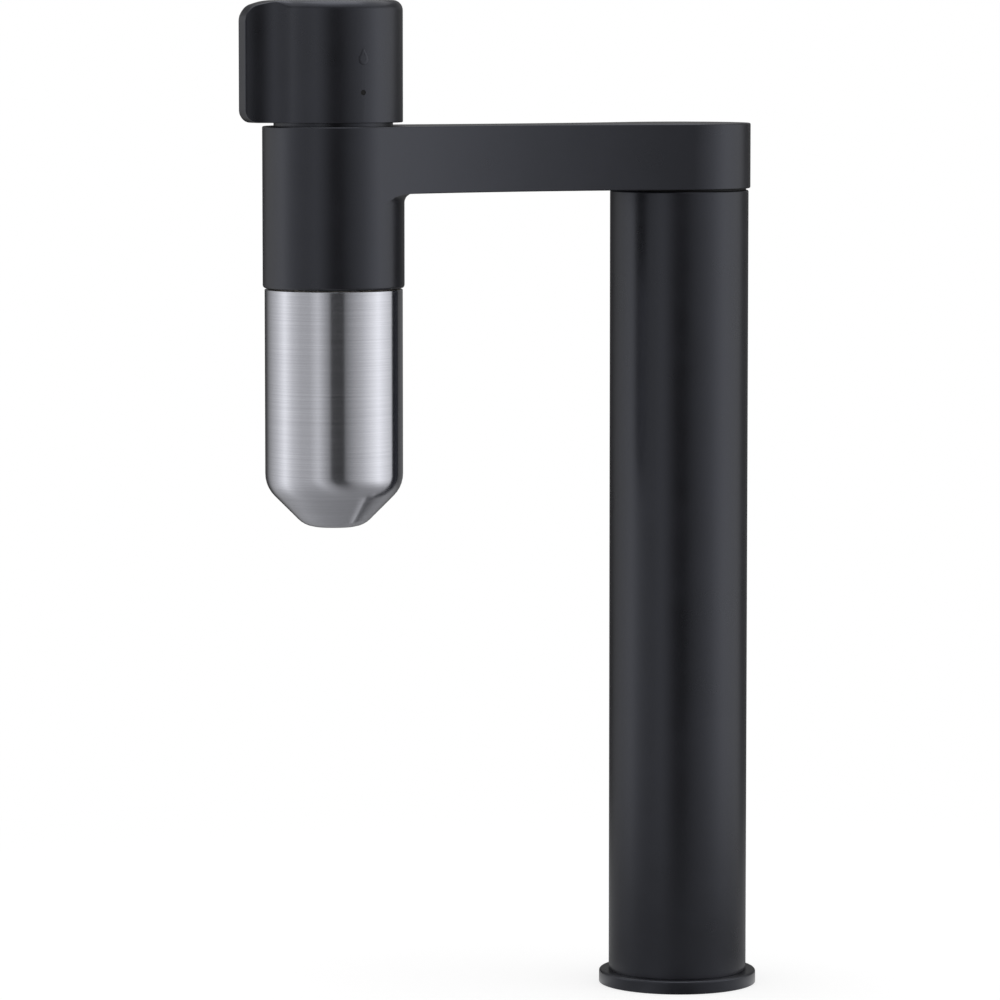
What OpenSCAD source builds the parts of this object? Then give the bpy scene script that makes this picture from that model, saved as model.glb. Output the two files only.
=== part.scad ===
// Single-lever drinking water filter tap.
// A round column carries a flat swivelling arm. At the arm's end a quarter-turn valve sits on top
// of a screw-on steel capsule that holds the filter cartridge and ends in the outlet.
// Origin: column axis, at the worktop. +Z is up, and the arm points along -Y.

/* [Base] */
// Diameter of the foot flange that rests on the worktop
flange_d = 52.5; // [50:0.5:64]
// Height of the foot flange
flange_h = 4.4; // [3.4:0.2:8]
// Rounding of the flange's upper edge
flange_edge_r = 0.8; // [0.3:0.1:1.5]
// Radial width of the square seal ring under the flange
base_seal_w = 2.4; // [1.6:0.2:3]
// Thickness of the seal ring under the flange
base_seal_t = 1.6; // [1:0.1:2]
// Diameter of the inlet block's register in the flange, which passes a 35 mm tap hole
register_d = 33.8; // [32:0.2:34.6]
// Height of the inlet block above the worktop
inlet_block_h = 24; // [22:0.5:40]
// Tapping diameter of the M10 x 1 hose connection
inlet_hole_d = 9; // [8:0.1:10]
// Depth of the hose connection's thread
inlet_hole_depth = 12; // [9:0.5:12.5]
// Tapping diameter of the M8 fixing stud's hole
stud_hole_d = 6.8; // [5:0.1:7]
// Depth of the fixing stud's hole
stud_hole_depth = 14; // [10:0.5:20]
// Distance of the fixing stud from the column axis
stud_offset = 11; // [10:0.2:12]

/* [Column] */
// Outside diameter of the column tube
column_d = 46; // [44:0.5:50]
// Wall of the column tube
column_wall = 2; // [1:0.1:2.5]
// Height of the column tube's upper end above the worktop
column_top_z = 265.8; // [150:1:400]
// Rounding of the column tube's upper edge
column_edge_r = 0.6; // [0.2:0.1:1.5]
// Outside diameter of the riser pipe inside the column
riser_d = 10; // [9:0.2:11]
// Wall of the riser pipe
riser_wall = 1; // [0.6:0.1:1.5]
// Depth of each socket that takes an end of the riser pipe
riser_socket_depth = 8.5; // [7:0.5:9]
// Cord diameter of the riser pipe's seal rings
riser_seal_cord = 1.5; // [1:0.1:1.8]

/* [Swivel] */
// Length of the column head that plugs the tube's upper end
head_h = 30; // [28:0.5:50]
// Bore of the column head
head_bore_d = 22; // [20:0.2:24]
// Radial gap between the spindle and the head's bore
spindle_gap = 0.3; // [0.2:0.05:0.5]
// Water passage through the spindle
spindle_bore_d = 9; // [6:0.2:10]
// Diameter of the spindle's threaded end in the arm
spindle_thread_d = 26; // [25:0.2:28]
// Length of the spindle's threaded end in the arm
spindle_thread_h = 6.5; // [5:0.1:7.5]
// Width of each swivel bush along the column axis
bush_h = 2.6; // [2:0.1:3]
// Depth of each swivel bush's groove in the spindle
bush_depth = 1.1; // [0.8:0.1:1.4]
// Cord diameter of the spindle's seal rings
spindle_seal_cord = 2; // [1.6:0.1:2.4]
// Depth of the recess that holds the retaining ring and the riser adaptor
head_recess_h = 9; // [8.5:0.1:12]
// Diameter of that recess
head_recess_d = 30; // [28:0.2:34]
// Thickness of the retaining ring
retaining_ring_t = 1.2; // [0.8:0.1:1.5]
// Thickness of the thrust washer between the column and the arm
washer_t = 0.6; // [0.4:0.1:1.5]
// How far the thrust washer's edge stands back from the column's face
washer_setback = 0.8; // [0.4:0.1:2]
// Height of the riser adaptor's flange under the column head
adaptor_flange_h = 4; // [3:0.2:8]

/* [Arm] */
// Distance from the column axis to the capsule axis
reach = 127; // [110:1:220]
// Thickness of the arm
arm_t = 21.6; // [21:0.2:30]
// Diameter of the arm's round end over the column
arm_end_d = 47.2; // [46.6:0.2:56]
// Width of the arm at its waist
arm_waist_w = 27.6; // [22:0.2:40]
// Water passage along the arm
waterway_d = 8; // [6:0.2:9]
// Metal left above the water passage
waterway_cover = 4; // [3:0.1:4.4]
// Fillet under the arm where it meets the collar
arm_fillet_r = 3; // [1:0.5:6]

/* [Collar] */
// Diameter of the collar that holds the valve and the capsule
collar_d = 45.7; // [45:0.1:48]
// Height of the collar, the arm included
collar_h = 52; // [50:0.5:70]
// Rounding of the collar's lower edge
collar_edge_r = 0.5; // [0.2:0.1:1]
// Side passage that leads the water down past the valve
side_port_d = 4.4; // [3:0.1:4.8]

/* [Valve] */
// Diameter of the valve's pocket in the collar
valve_pocket_d = 30; // [29:0.2:31]
// Depth of the valve's pocket, nut included
valve_pocket_h = 20; // [19.5:0.1:20.5]
// Outside diameter of the cartridge nut's thread
nut_thread_d = 34; // [33:0.2:35]
// Length of the cartridge nut's thread
nut_thread_h = 7; // [6:0.1:7.5]
// Diameter of the cartridge nut's flange, seen under the knob
nut_flange_d = 38.4; // [36:0.2:39]
// Height of the cartridge nut's flange
nut_flange_h = 2.4; // [1.8:0.1:3]
// Thickness of each ceramic disc
disc_t = 3.4; // [2.5:0.1:3.5]
// Diameter of the fixed ceramic disc
disc_d = 23.6; // [22:0.2:24]
// Diameter of the two ports through the valve
valve_port_d = 5; // [3:0.1:5.4]
// Distance of each port from the valve's axis
valve_port_offset = 5.6; // [5:0.1:6.4]
// Thickness of the rubber seal under the discs
valve_seal_t = 1.4; // [1:0.1:1.6]
// Diameter of the valve's stem
stem_d = 10; // [9:0.1:10.6]
// Depth of the spline's teeth on the stem
spline_depth = 0.6; // [0.4:0.05:0.8]
// Number of teeth on the spline
spline_teeth = 20; // [16:2:24]

/* [Knob] */
// Diameter of the knob's round body
knob_d = 44.8; // [44:0.1:48]
// Height of the knob
knob_h = 39.1; // [36:0.1:50]
// Open gap between the collar and the knob
knob_gap = 1.2; // [0.8:0.1:1.5]
// Rounding of the knob's upper edge
knob_edge_r = 3.3; // [1:0.1:4]
// Side wall of the knob
knob_wall = 2.5; // [1.6:0.1:2.6]
// Top plate of the knob
knob_top_t = 3.6; // [3.5:0.1:5]
// Distance of the thumb tab's tip from the knob's axis
tab_reach = 32.2; // [28:0.1:33]
// Narrowest width of the thumb tab
tab_w = 5; // [3:0.1:8]
// Concave radius on each side of the thumb tab
tab_flank_r = 16.7; // [14:0.1:20]
// How far the tab's upper edge falls towards its tip
tab_drop = 2.4; // [0.5:0.1:4]
// Rounding of the tab's upper and lower corners
tab_corner_r = 4; // [1:0.1:6]
// Diameter of the index pin in the knob's side
index_pin_d = 1.6; // [1:0.1:3]
// Distance of the index pin's axis below the knob's top
index_pin_depth = 29.4; // [26:0.1:33]
// Height of the raised drop sign on the knob's side
sign_h = 5.6; // [3:0.1:9]
// Distance of the drop sign's centre below the knob's top
sign_depth = 18.8; // [14:0.1:22]
// How far the drop sign stands out from the knob
sign_relief = 0.25; // [0.1:0.05:0.4]

/* [Capsule] */
// Diameter of the steel capsule
capsule_d = 44.5; // [44:0.1:46]
// Height of the capsule from its seam with the collar to its tip
capsule_h = 77; // [74:0.5:120]
// Open seam between the collar and the capsule
seam_gap = 0.4; // [0.2:0.1:1]
// Angle of the capsule's cone from the horizontal
cone_angle = 45; // [40:1:50]
// Diameter where the cone's line meets the capsule's bottom
tip_d = 18.6; // [18:0.2:22]
// Rounding from the capsule's side into its cone
shoulder_r = 10; // [4:0.5:12]
// Rounding from the cone into the bottom
tip_r = 8; // [4:0.5:9]
// Wall of the steel capsule
capsule_wall = 0.8; // [0.5:0.1:1]
// Wall of the plastic liner in the capsule
liner_wall = 2; // [1.5:0.1:2.2]
// Diameter of the liner's threaded neck in the collar
neck_d = 39.2; // [38:0.1:39.6]
// Length of the liner's threaded neck
neck_h = 9.5; // [8.5:0.1:10]
// Wall of the threaded neck
neck_wall = 2.7; // [2.5:0.1:2.9]
// Cord diameter of the capsule's seal ring
housing_seal_cord = 1.5; // [1.2:0.1:1.7]
// Diameter of the outlet nozzle
nozzle_d = 13; // [12:0.1:13.4]
// Width of the nozzle's socket for the cartridge
nozzle_socket_d = 9.4; // [9:0.1:9.8]

/* [Filter] */
// Outside diameter of the cartridge's end caps
cap_d = 33; // [31:0.1:33.2]
// Thickness of each end cap's plate
cap_t = 3; // [2.4:0.1:3.6]
// Outside diameter of the carbon block
block_d = 31; // [27:0.1:31.4]
// Bore of the carbon block
block_bore_d = 11; // [9:0.2:14]
// Thickness of the fleece sleeve round the block
sleeve_t = 0.5; // [0.3:0.05:0.6]
// Diameter of the upper locating spigot
top_spigot_d = 12; // [11:0.1:13]
// Length of the upper locating spigot
top_spigot_h = 8; // [6:0.1:9]
// Length of the lower outlet spigot
outlet_spigot_h = 8.5; // [7:0.1:9]
// Water passage through the lower spigot
outlet_bore_d = 5.6; // [4:0.1:5.8]
// Cord diameter of the cartridge's seal rings
spigot_seal_cord = 1.3; // [1:0.1:1.4]
// Thickness of the filter head's plate
head_plate_t = 3; // [2:0.1:4]

/* [Fits] */
// Radial clearance of a turning or sliding fit
run_gap = 0.05; // [0.02:0.01:0.1]
// Radial clearance between pieces that are fixed together
seat_gap = 0.05; // [0.02:0.01:0.1]
// Axial gap between the two ceramic discs
disc_gap = 0.02; // [0.01:0.01:0.05]

/* [Hidden] */
$fn = 96;

black = "#2c2c30";
steel = "#a9a9ae";
brass = "#b59a5b";
rubber = "#1b1b1c";
white_plastic = "#d9dad6";
ceramic = "#e9e6de";
carbon = "#26272a";
fleece = "#c9d6de";

// Overshoot of a cutting solid past the face it cuts
cut = 1;

// Play of a ring in its groove: of a rigid ring, of a seal ring, and of a seal ring that slides
ring_play = 0.1;
seal_play = 0.3;
sliding_seal_play = 0.4;
// Gap between a ring and the bottom of its groove
groove_gap = 0.02;

// Radii used in many places
column_r = column_d / 2;
column_bore_r = column_r - column_wall;
plug_r = column_bore_r - seat_gap;
register_r = register_d / 2;
riser_r = riser_d / 2;
riser_bore_r = riser_r - riser_wall;
head_bore_r = head_bore_d / 2;
spindle_r = head_bore_r - spindle_gap;
collar_r = collar_d / 2;
arm_end_r = arm_end_d / 2;
knob_r = knob_d / 2;
capsule_r = capsule_d / 2;
tip_r_plan = tip_d / 2;
neck_r = neck_d / 2;
neck_bore_r = neck_r - neck_wall;
stem_r = stem_d / 2;
disc_r = disc_d / 2;
base_seal_margin = 1.6;
base_seal_r = flange_d / 2 - base_seal_margin;

// Heights along the column, from the worktop up
riser_low_z = inlet_block_h - riser_socket_depth;
riser_end_gap = 0.2;
head_low_z = column_top_z - head_h;
adaptor_low_z = head_low_z - adaptor_flange_h;
adaptor_rim = 3;
retaining_ring_room = 2.6;
adaptor_spigot_h = head_recess_h - retaining_ring_t - retaining_ring_room;
riser_top_z = adaptor_low_z + riser_socket_depth;
ledge_z = head_low_z + head_recess_h;
ring_gap = 0.2;
retaining_ring_z = ledge_z - ring_gap - retaining_ring_t;
retaining_groove_depth = 1.2;
spindle_tail = 1.2;
spindle_low_z = retaining_ring_z - spindle_tail;

// Heights of the arm and the collar
arm_z = column_top_z + washer_t;
arm_top_z = arm_z + arm_t;
collar_z = arm_top_z - collar_h;
waterway_z = arm_top_z - waterway_cover - waterway_d / 2;

// Heights of the valve
valve_floor_z = arm_top_z - valve_pocket_h;
nut_z = arm_top_z - nut_thread_h;
fixed_disc_z = valve_floor_z + valve_seal_t;
moving_disc_z = fixed_disc_z + disc_t + disc_gap;
stem_flange_z = moving_disc_z + disc_t;
chamber_end_gap = 0.2;
chamber_side_gap = 0.1;
chamber_cover = 1.4;
chamber_top_z = nut_z - chamber_cover;
stem_flange_h = chamber_top_z - chamber_end_gap - stem_flange_z;
guide_h = 12;
guide_wall = 3;
guide_r = stem_r + guide_wall;
guide_top_z = nut_z + guide_h;
clip_t = 0.8;
clip_gap = 0.1;
clip_groove_depth = 0.7;
clip_z = guide_top_z + clip_gap;
knob_z = arm_top_z + knob_gap;
knob_top_z = knob_z + knob_h;
knob_ceiling_z = knob_top_z - knob_top_t;
spline_rise = 1.6;
spline_z = clip_z + clip_t + spline_rise;
spline_h = 14;
spline_step = 0.2;
spline_r = stem_r - spline_step;
stem_top_z = spline_z + spline_h;
stem_end_gap = 0.4;
hub_rise = 0.6;
hub_low_z = spline_z + hub_rise;
hub_wall = 3;
hub_r = stem_r + hub_wall;
grub_r = 2;
grub_rise = 6.5;
grub_z = spline_z + grub_rise;
grub_l = 8;
grub_gap = 0.3;

// Side port beside the valve, and the cross port under it
side_port_r = side_port_d / 2;
side_port_setback = 1.7;
side_port_offset = nut_thread_d / 2 + side_port_setback;
cross_port_step = 0.3;
cross_port_r = side_port_r - cross_port_step;
cross_port_cover = 2.6;
cross_port_z = valve_floor_z - side_port_r - cross_port_cover;
port_low_z = cross_port_z - side_port_r;
waterway_overlap = 2;

// Heights of the filter's seat in the collar
neck_end_gap = 0.5;
neck_ledge_z = collar_z + neck_h + neck_end_gap;
head_plate_z = neck_ledge_z;
cavity_side_gap = 0.1;
filter_cavity_r = neck_bore_r + cavity_side_gap;
plenum_h = 12;
plenum_top_z = neck_ledge_z + plenum_h;
spigot_end_gap = 0.5;
socket_depth = top_spigot_h + spigot_end_gap;

// Heights of the cartridge, from its top down
cap_gap = 2.5;
cap_top_z = head_plate_z - cap_gap;
cap_plate_z = cap_top_z - cap_t;
tip_z = collar_z - capsule_h;
liner_gap = 0.1;
liner_inset = capsule_wall + liner_gap;
liner_shoulder_h = 4;
liner_floor_z = tip_z + liner_inset + liner_wall;
nozzle_boss_t = 0.8;
nozzle_flange_z = liner_floor_z + nozzle_boss_t;
nozzle_flange_h = 2;
nozzle_flange_lap = 1.8;
nozzle_flange_r = nozzle_d / 2 + nozzle_flange_lap;
nozzle_tube_h = 8.5;
nozzle_top_z = nozzle_flange_z + nozzle_flange_h + nozzle_tube_h;
spigot_engagement = 5;
spigot_low_z = nozzle_top_z - spigot_engagement;
bottom_cap_z = spigot_low_z + outlet_spigot_h;
block_z = bottom_cap_z + cap_t;
block_h = cap_plate_z - block_z;
outlet_spigot_r = nozzle_socket_d / 2 - 2 * run_gap;
straightener_t = 3;
straightener_setback = 0.6;
nozzle_rim_w = 1.9;
straightener_r = nozzle_d / 2 - nozzle_rim_w;

// Groove in the nozzle's flange for its seal ring
nozzle_groove_depth = 0.8;
nozzle_groove_outer_r = nozzle_flange_r - 0.3;
nozzle_groove_inner_r = nozzle_d / 2 + 0.1;

// The index pin and the drop sign stand on the knob's +X side
index_pin_z = knob_top_z - index_pin_depth;
sign_z = knob_top_z - sign_depth;

// Moves its children to the capsule's axis
module at_capsule() {
    translate([0, -reach, 0]) children();
}

// Solid ring of a round cord
module cord_ring(centre_r, cord_d, z) {
    translate([0, 0, z])
        rotate_extrude()
            translate([centre_r, 0]) circle(d = cord_d, $fn = 32);
}

// Plain ring with a square section
module flat_ring(outer_r, inner_r, h, z) {
    translate([0, 0, z])
        difference() {
            cylinder(r = outer_r, h = h);
            translate([0, 0, -cut]) cylinder(r = inner_r, h = h + 2 * cut);
        }
}

// Groove to be cut round a shaft, for a ring of height h that stands at z, with some play
module shaft_groove(shaft_r, depth, h, z, play = ring_play) {
    flat_ring(shaft_r + cut, shaft_r - depth, h + play, z - play / 2);
}

// The same for a seal ring, whose z is its middle
module seal_groove(shaft_r, depth, cord_d, z, play) {
    shaft_groove(shaft_r, depth, cord_d, z - cord_d / 2, play);
}

// Radial section of a round body whose upper edge is rounded
module rounded_section(r, h, edge_r) {
    square([r, h - edge_r]);
    square([r - edge_r, h]);
    translate([r - edge_r, h - edge_r]) circle(r = edge_r, $fn = 48);
}

// Points along an arc, the first and the last included
function arc(centre, r, from, to, steps) =
    [for (i = [0 : steps])
        let (a = from + (to - from) * i / steps)
            centre + r * [cos(a), sin(a)]];

// Points that turn the corner b of an outline round, on the way from a to c
function unit(v) = v / norm(v);
function side_of(a, b, c) = sign(cross(b - a, c - b));
function turn_angle(a, b, c) = acos(unit(b - a) * unit(c - b));
function heading(v) = atan2(v[1], v[0]);
function round_corner(a, b, c, r, steps = 8) =
    let (turn = turn_angle(a, b, c) * side_of(a, b, c))
    let (centre = b + unit(unit(a - b) + unit(c - b)) * r / cos(turn / 2))
    let (first = heading(b - a) - 90 * side_of(a, b, c))
        arc(centre, r, first, first + turn, steps);

// Arm outline: two round ends joined by a concave arc on each side.
// The arc's radius follows from the waist: it touches both ends and leaves the waist's width.
waist_half = arm_waist_w / 2;
end_term = pow(arm_end_r, 2) - pow(waist_half, 2);
collar_term = pow(collar_r, 2) - pow(waist_half, 2);
width_ratio = (collar_r - waist_half) / (arm_end_r - waist_half);
waist_c = pow(reach, 2) - collar_term + width_ratio * end_term;
waist_y = 2 * waist_c
    / (2 * reach + sqrt(pow(2 * reach, 2) - 4 * (1 - width_ratio) * waist_c));
flank_r = (pow(waist_y, 2) - end_term) / (2 * (arm_end_r - waist_half));

// The outline's flats over the collar stand this much proud, so that they cover its round side
facet_cover = 0.05;
flank_x = waist_half + flank_r;
end_angle = atan2(waist_y, flank_x);
collar_angle = atan2(reach - waist_y, flank_x);

module arm_outline() {
    flank_steps = 20;
    left_flank = arc([-flank_x, -waist_y], flank_r, end_angle, -collar_angle, flank_steps);
    right_flank = arc([flank_x, -waist_y], flank_r, 180 + collar_angle, 180 - end_angle,
        flank_steps);
    inner = [1 : flank_steps - 1];
    polygon(concat(
        arc([0, 0], arm_end_r, -end_angle, 180 + end_angle, 48),
        [for (i = inner) left_flank[i]],
        arc([0, -reach], collar_r + facet_cover, 180 - collar_angle, 360 + collar_angle, 48),
        [for (i = inner) right_flank[i]]
    ));
}

// Foot flange: turned brass ring, clamped between the column tube and the worktop
module base_flange() {
    color(black)
        difference() {
            rotate_extrude() rounded_section(flange_d / 2, flange_h, flange_edge_r);
            translate([0, 0, -cut])
                cylinder(r = register_r + seat_gap, h = flange_h + 2 * cut);
            translate([0, 0, -cut])
                flat_ring(base_seal_r, base_seal_r - base_seal_w, base_seal_t + cut, 0);
        }
}

// Square seal ring in the groove under the flange
module base_seal() {
    color(rubber)
        flat_ring(base_seal_r - seat_gap, base_seal_r - base_seal_w + seat_gap, base_seal_t, 0);
}

// Inlet block: closes the tube's lower end, takes the hose and the fixing stud from below
module inlet_block() {
    color(brass)
        difference() {
            union() {
                cylinder(r = register_r, h = flange_h + cut);
                translate([0, 0, flange_h]) cylinder(r = plug_r, h = inlet_block_h - flange_h);
            }
            translate([0, 0, -cut]) cylinder(d = inlet_hole_d, h = inlet_hole_depth + cut);
            cylinder(r = riser_bore_r, h = inlet_block_h);
            translate([0, 0, riser_low_z])
                cylinder(r = riser_r + seat_gap, h = riser_socket_depth + cut);
            riser_seal_groove(riser_low_z + riser_socket_depth / 2);
            translate([0, stud_offset, -cut]) cylinder(d = stud_hole_d, h = stud_hole_depth + cut);
        }
}

// Groove for a seal ring in the wall of a riser socket
module riser_seal_groove(z) {
    groove_h = riser_seal_cord + seal_play;
    flat_ring(riser_r + riser_seal_cord, riser_r - seat_gap, groove_h, z - groove_h / 2);
}

module riser_pipe() {
    color(steel)
        flat_ring(riser_r, riser_bore_r, riser_top_z - riser_low_z - 2 * riser_end_gap,
            riser_low_z + riser_end_gap);
}

// One seal ring at each end of the riser pipe
module riser_seals() {
    color(rubber)
        for (z = [riser_low_z, adaptor_low_z])
            cord_ring(riser_r + riser_seal_cord / 2 + groove_gap,
                riser_seal_cord - 2 * groove_gap, z + riser_socket_depth / 2);
}

// Column tube, drawn brass with a satin black coat
module column_tube() {
    color(black)
        translate([0, 0, flange_h])
            rotate_extrude()
                difference() {
                    rounded_section(column_r, column_top_z - flange_h, column_edge_r);
                    translate([0, -cut])
                        square([column_bore_r, column_top_z - flange_h + 2 * cut]);
                }
}

// Column head: plugs the tube's upper end and guides the arm's spindle
module column_head() {
    color(brass)
        difference() {
            translate([0, 0, head_low_z]) cylinder(r = plug_r, h = head_h);
            translate([0, 0, head_low_z - cut]) cylinder(r = head_bore_r, h = head_h + 2 * cut);
            translate([0, 0, head_low_z - cut])
                cylinder(d = head_recess_d, h = head_recess_h + cut);
        }
}

// Riser adaptor: screwed into the column head after the retaining ring is on
module riser_adaptor() {
    color(brass)
        difference() {
            union() {
                translate([0, 0, adaptor_low_z])
                    cylinder(r = head_recess_d / 2 + adaptor_rim, h = adaptor_flange_h);
                translate([0, 0, adaptor_low_z])
                    cylinder(r = head_recess_d / 2 - seat_gap,
                        h = adaptor_flange_h + adaptor_spigot_h);
            }
            translate([0, 0, adaptor_low_z - cut])
                cylinder(r = riser_bore_r, h = adaptor_flange_h + adaptor_spigot_h + 2 * cut);
            translate([0, 0, adaptor_low_z - cut])
                cylinder(r = riser_r + seat_gap, h = riser_socket_depth + cut);
            riser_seal_groove(adaptor_low_z + riser_socket_depth / 2);
        }
}

// Acetal washer that the arm turns on
module thrust_washer() {
    bore_gap = 0.5;
    color(white_plastic)
        flat_ring(column_r - washer_setback, spindle_r + bore_gap, washer_t, column_top_z);
}

// Arm and collar: one brass casting with a satin black coat
module arm_body() {
    color(black)
        difference() {
            union() {
                translate([0, 0, arm_z]) linear_extrude(arm_t) arm_outline();
                at_capsule() collar_blank();
                collar_fillet();
            }
            spindle_cuts();
            at_capsule() valve_cuts();
            at_capsule() filter_seat_cuts();
        }
}

module collar_blank() {
    skirt_h = collar_h - arm_t;
    translate([0, 0, collar_z])
        rotate_extrude() {
            translate([0, collar_edge_r]) square([collar_r, skirt_h - collar_edge_r]);
            square([collar_r - collar_edge_r, skirt_h]);
            translate([collar_r - collar_edge_r, collar_edge_r])
                circle(r = collar_edge_r, $fn = 48);
        }
}

// Concave fillet under the arm, only where the arm's outline covers it
module collar_fillet() {
    intersection() {
        translate([0, 0, arm_z - arm_fillet_r])
            linear_extrude(arm_fillet_r + cut) arm_outline();
        at_capsule()
            translate([0, 0, arm_z - arm_fillet_r])
                rotate_extrude()
                    polygon(concat(
                        [[collar_r - cut, 0]],
                        arc([collar_r + arm_fillet_r, 0], arm_fillet_r, 180, 90, 6),
                        [[collar_r + arm_fillet_r, arm_fillet_r + cut],
                            [collar_r - cut, arm_fillet_r + cut]]
                    ));
    }
}

// Pocket for the spindle's thread, and the water passage to the valve
module spindle_cuts() {
    translate([0, 0, arm_z - cut])
        cylinder(r = spindle_thread_d / 2 + seat_gap, h = spindle_thread_h + cut);
    translate([0, 0, arm_z]) cylinder(d = spindle_bore_d, h = waterway_z + waterway_overlap - arm_z);
    translate([0, 0, waterway_z])
        rotate([90, 0, 0]) cylinder(d = waterway_d, h = reach - side_port_offset);
}

// Valve pocket, nut thread, and the ports under the valve's floor
module valve_cuts() {
    translate([0, 0, valve_floor_z])
        cylinder(d = valve_pocket_d, h = valve_pocket_h + cut);
    translate([0, 0, nut_z])
        cylinder(r = nut_thread_d / 2 + seat_gap, h = nut_thread_h + cut);
    translate([0, side_port_offset, port_low_z])
        cylinder(r = side_port_r, h = waterway_z - port_low_z);
    translate([0, valve_port_offset, cross_port_z])
        rotate([-90, 0, 0])
            cylinder(r = cross_port_r, h = side_port_offset - valve_port_offset);
    translate([0, valve_port_offset, port_low_z])
        cylinder(r = side_port_r, h = valve_floor_z + cut - port_low_z);
    translate([0, -valve_port_offset, plenum_top_z - cut])
        cylinder(r = side_port_r, h = valve_floor_z + 2 * cut - plenum_top_z);
}

// Thread bore for the capsule's neck, and the cavity for the filter head
module filter_seat_cuts() {
    translate([0, 0, collar_z - cut])
        cylinder(r = neck_r + run_gap, h = neck_ledge_z - collar_z + cut);
    translate([0, 0, collar_z]) cylinder(r = filter_cavity_r, h = plenum_top_z - collar_z);
}

// Spindle: screwed into the arm, turns in the column head and carries the water up
module swivel_spindle() {
    thread_end_gap = 0.2;
    color(brass)
        difference() {
            union() {
                translate([0, 0, spindle_low_z])
                    cylinder(r = spindle_r, h = arm_z + cut - spindle_low_z);
                translate([0, 0, arm_z])
                    cylinder(d = spindle_thread_d, h = spindle_thread_h - thread_end_gap);
            }
            translate([0, 0, spindle_low_z - cut])
                cylinder(d = spindle_bore_d, h = arm_z + arm_t - spindle_low_z);
            for (z = bush_levels)
                shaft_groove(spindle_r, bush_depth, bush_h, z);
            for (z = spindle_seal_levels)
                seal_groove(spindle_r, spindle_seal_depth, spindle_seal_cord, z,
                    sliding_seal_play);
            shaft_groove(spindle_r, retaining_groove_depth, retaining_ring_t, retaining_ring_z);
        }
}

lower_bush_rise = 1.2;
upper_bush_setback = 0.6;
bush_levels = [ledge_z + lower_bush_rise, column_top_z - bush_h - upper_bush_setback];
bush_low_z = bush_levels[0];
seal_span = bush_levels[1] - bush_low_z - bush_h;
spindle_seal_levels = [for (part = [1, 2]) bush_low_z + bush_h + part * seal_span / 3];
spindle_seal_depth = spindle_seal_cord - spindle_gap + groove_gap;
spindle_seal_gap = 0.03;

module swivel_bush(z) {
    color(white_plastic)
        flat_ring(head_bore_r - run_gap, spindle_r - bush_depth + groove_gap, bush_h, z);
}

module upper_swivel_bush() {
    swivel_bush(bush_levels[1]);
}

module lower_swivel_bush() {
    swivel_bush(bush_levels[0]);
}

// Two seal rings in the spindle's grooves, just clear of the head's bore
module spindle_seals() {
    color(rubber)
        for (z = spindle_seal_levels)
            cord_ring(head_bore_r - spindle_seal_cord / 2,
                spindle_seal_cord - 2 * spindle_seal_gap, z);
}

// Snap ring under the column head's ledge, which keeps the arm from lifting off
module retaining_ring() {
    opening_w = 5;
    lap = 2;
    color(steel)
        difference() {
            flat_ring(head_bore_r + lap, spindle_r - retaining_groove_depth + seat_gap,
                retaining_ring_t, retaining_ring_z);
            translate([-opening_w / 2, 0, retaining_ring_z - cut])
                cube([opening_w, head_bore_d, retaining_ring_t + 2 * cut]);
        }
}

// Two round ports through a disc at the valve's floor
module valve_ports(z, h) {
    for (side = [-1, 1])
        translate([0, side * valve_port_offset, z - cut])
            cylinder(d = valve_port_d, h = h + 2 * cut);
}

module valve_base_seal() {
    color(rubber)
        at_capsule()
            difference() {
                translate([0, 0, valve_floor_z]) cylinder(r = disc_r, h = valve_seal_t);
                valve_ports(valve_floor_z, valve_seal_t);
            }
}

module fixed_ceramic_disc() {
    color(ceramic)
        at_capsule()
            difference() {
                translate([0, 0, fixed_disc_z]) cylinder(r = disc_r, h = disc_t);
                valve_ports(fixed_disc_z, disc_t);
            }
}

// Valve housing: brass shell with the disc chamber and the stem's guide
module valve_housing() {
    color(brass)
        at_capsule()
            difference() {
                union() {
                    translate([0, 0, valve_floor_z])
                        cylinder(r = valve_pocket_d / 2 - seat_gap, h = nut_z - valve_floor_z);
                    translate([0, 0, valve_floor_z])
                        cylinder(r = guide_r, h = guide_top_z - valve_floor_z);
                }
                translate([0, 0, valve_floor_z - cut])
                    cylinder(r = disc_r + chamber_side_gap, h = chamber_top_z - valve_floor_z + cut);
                translate([0, 0, valve_floor_z])
                    cylinder(r = stem_r + run_gap, h = guide_top_z - valve_floor_z + cut);
            }
}

// Cartridge nut: screwed into the collar over the valve housing, with four spanner slots
module cartridge_nut() {
    slot_w = 3;
    slot_depth = 1;
    color(black)
        at_capsule()
            difference() {
                union() {
                    translate([0, 0, nut_z])
                        cylinder(d = nut_thread_d, h = nut_thread_h + nut_flange_h);
                    translate([0, 0, arm_top_z]) cylinder(d = nut_flange_d, h = nut_flange_h);
                }
                translate([0, 0, nut_z - cut])
                    cylinder(r = guide_r + seat_gap, h = nut_thread_h + nut_flange_h + 2 * cut);
                for (angle = [45:90:315])
                    rotate([0, 0, angle])
                        translate([nut_thread_d / 2 - slot_w, -slot_w / 2,
                            arm_top_z + nut_flange_h - slot_depth])
                            cube([slot_w, slot_w, slot_depth + cut]);
            }
}

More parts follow.
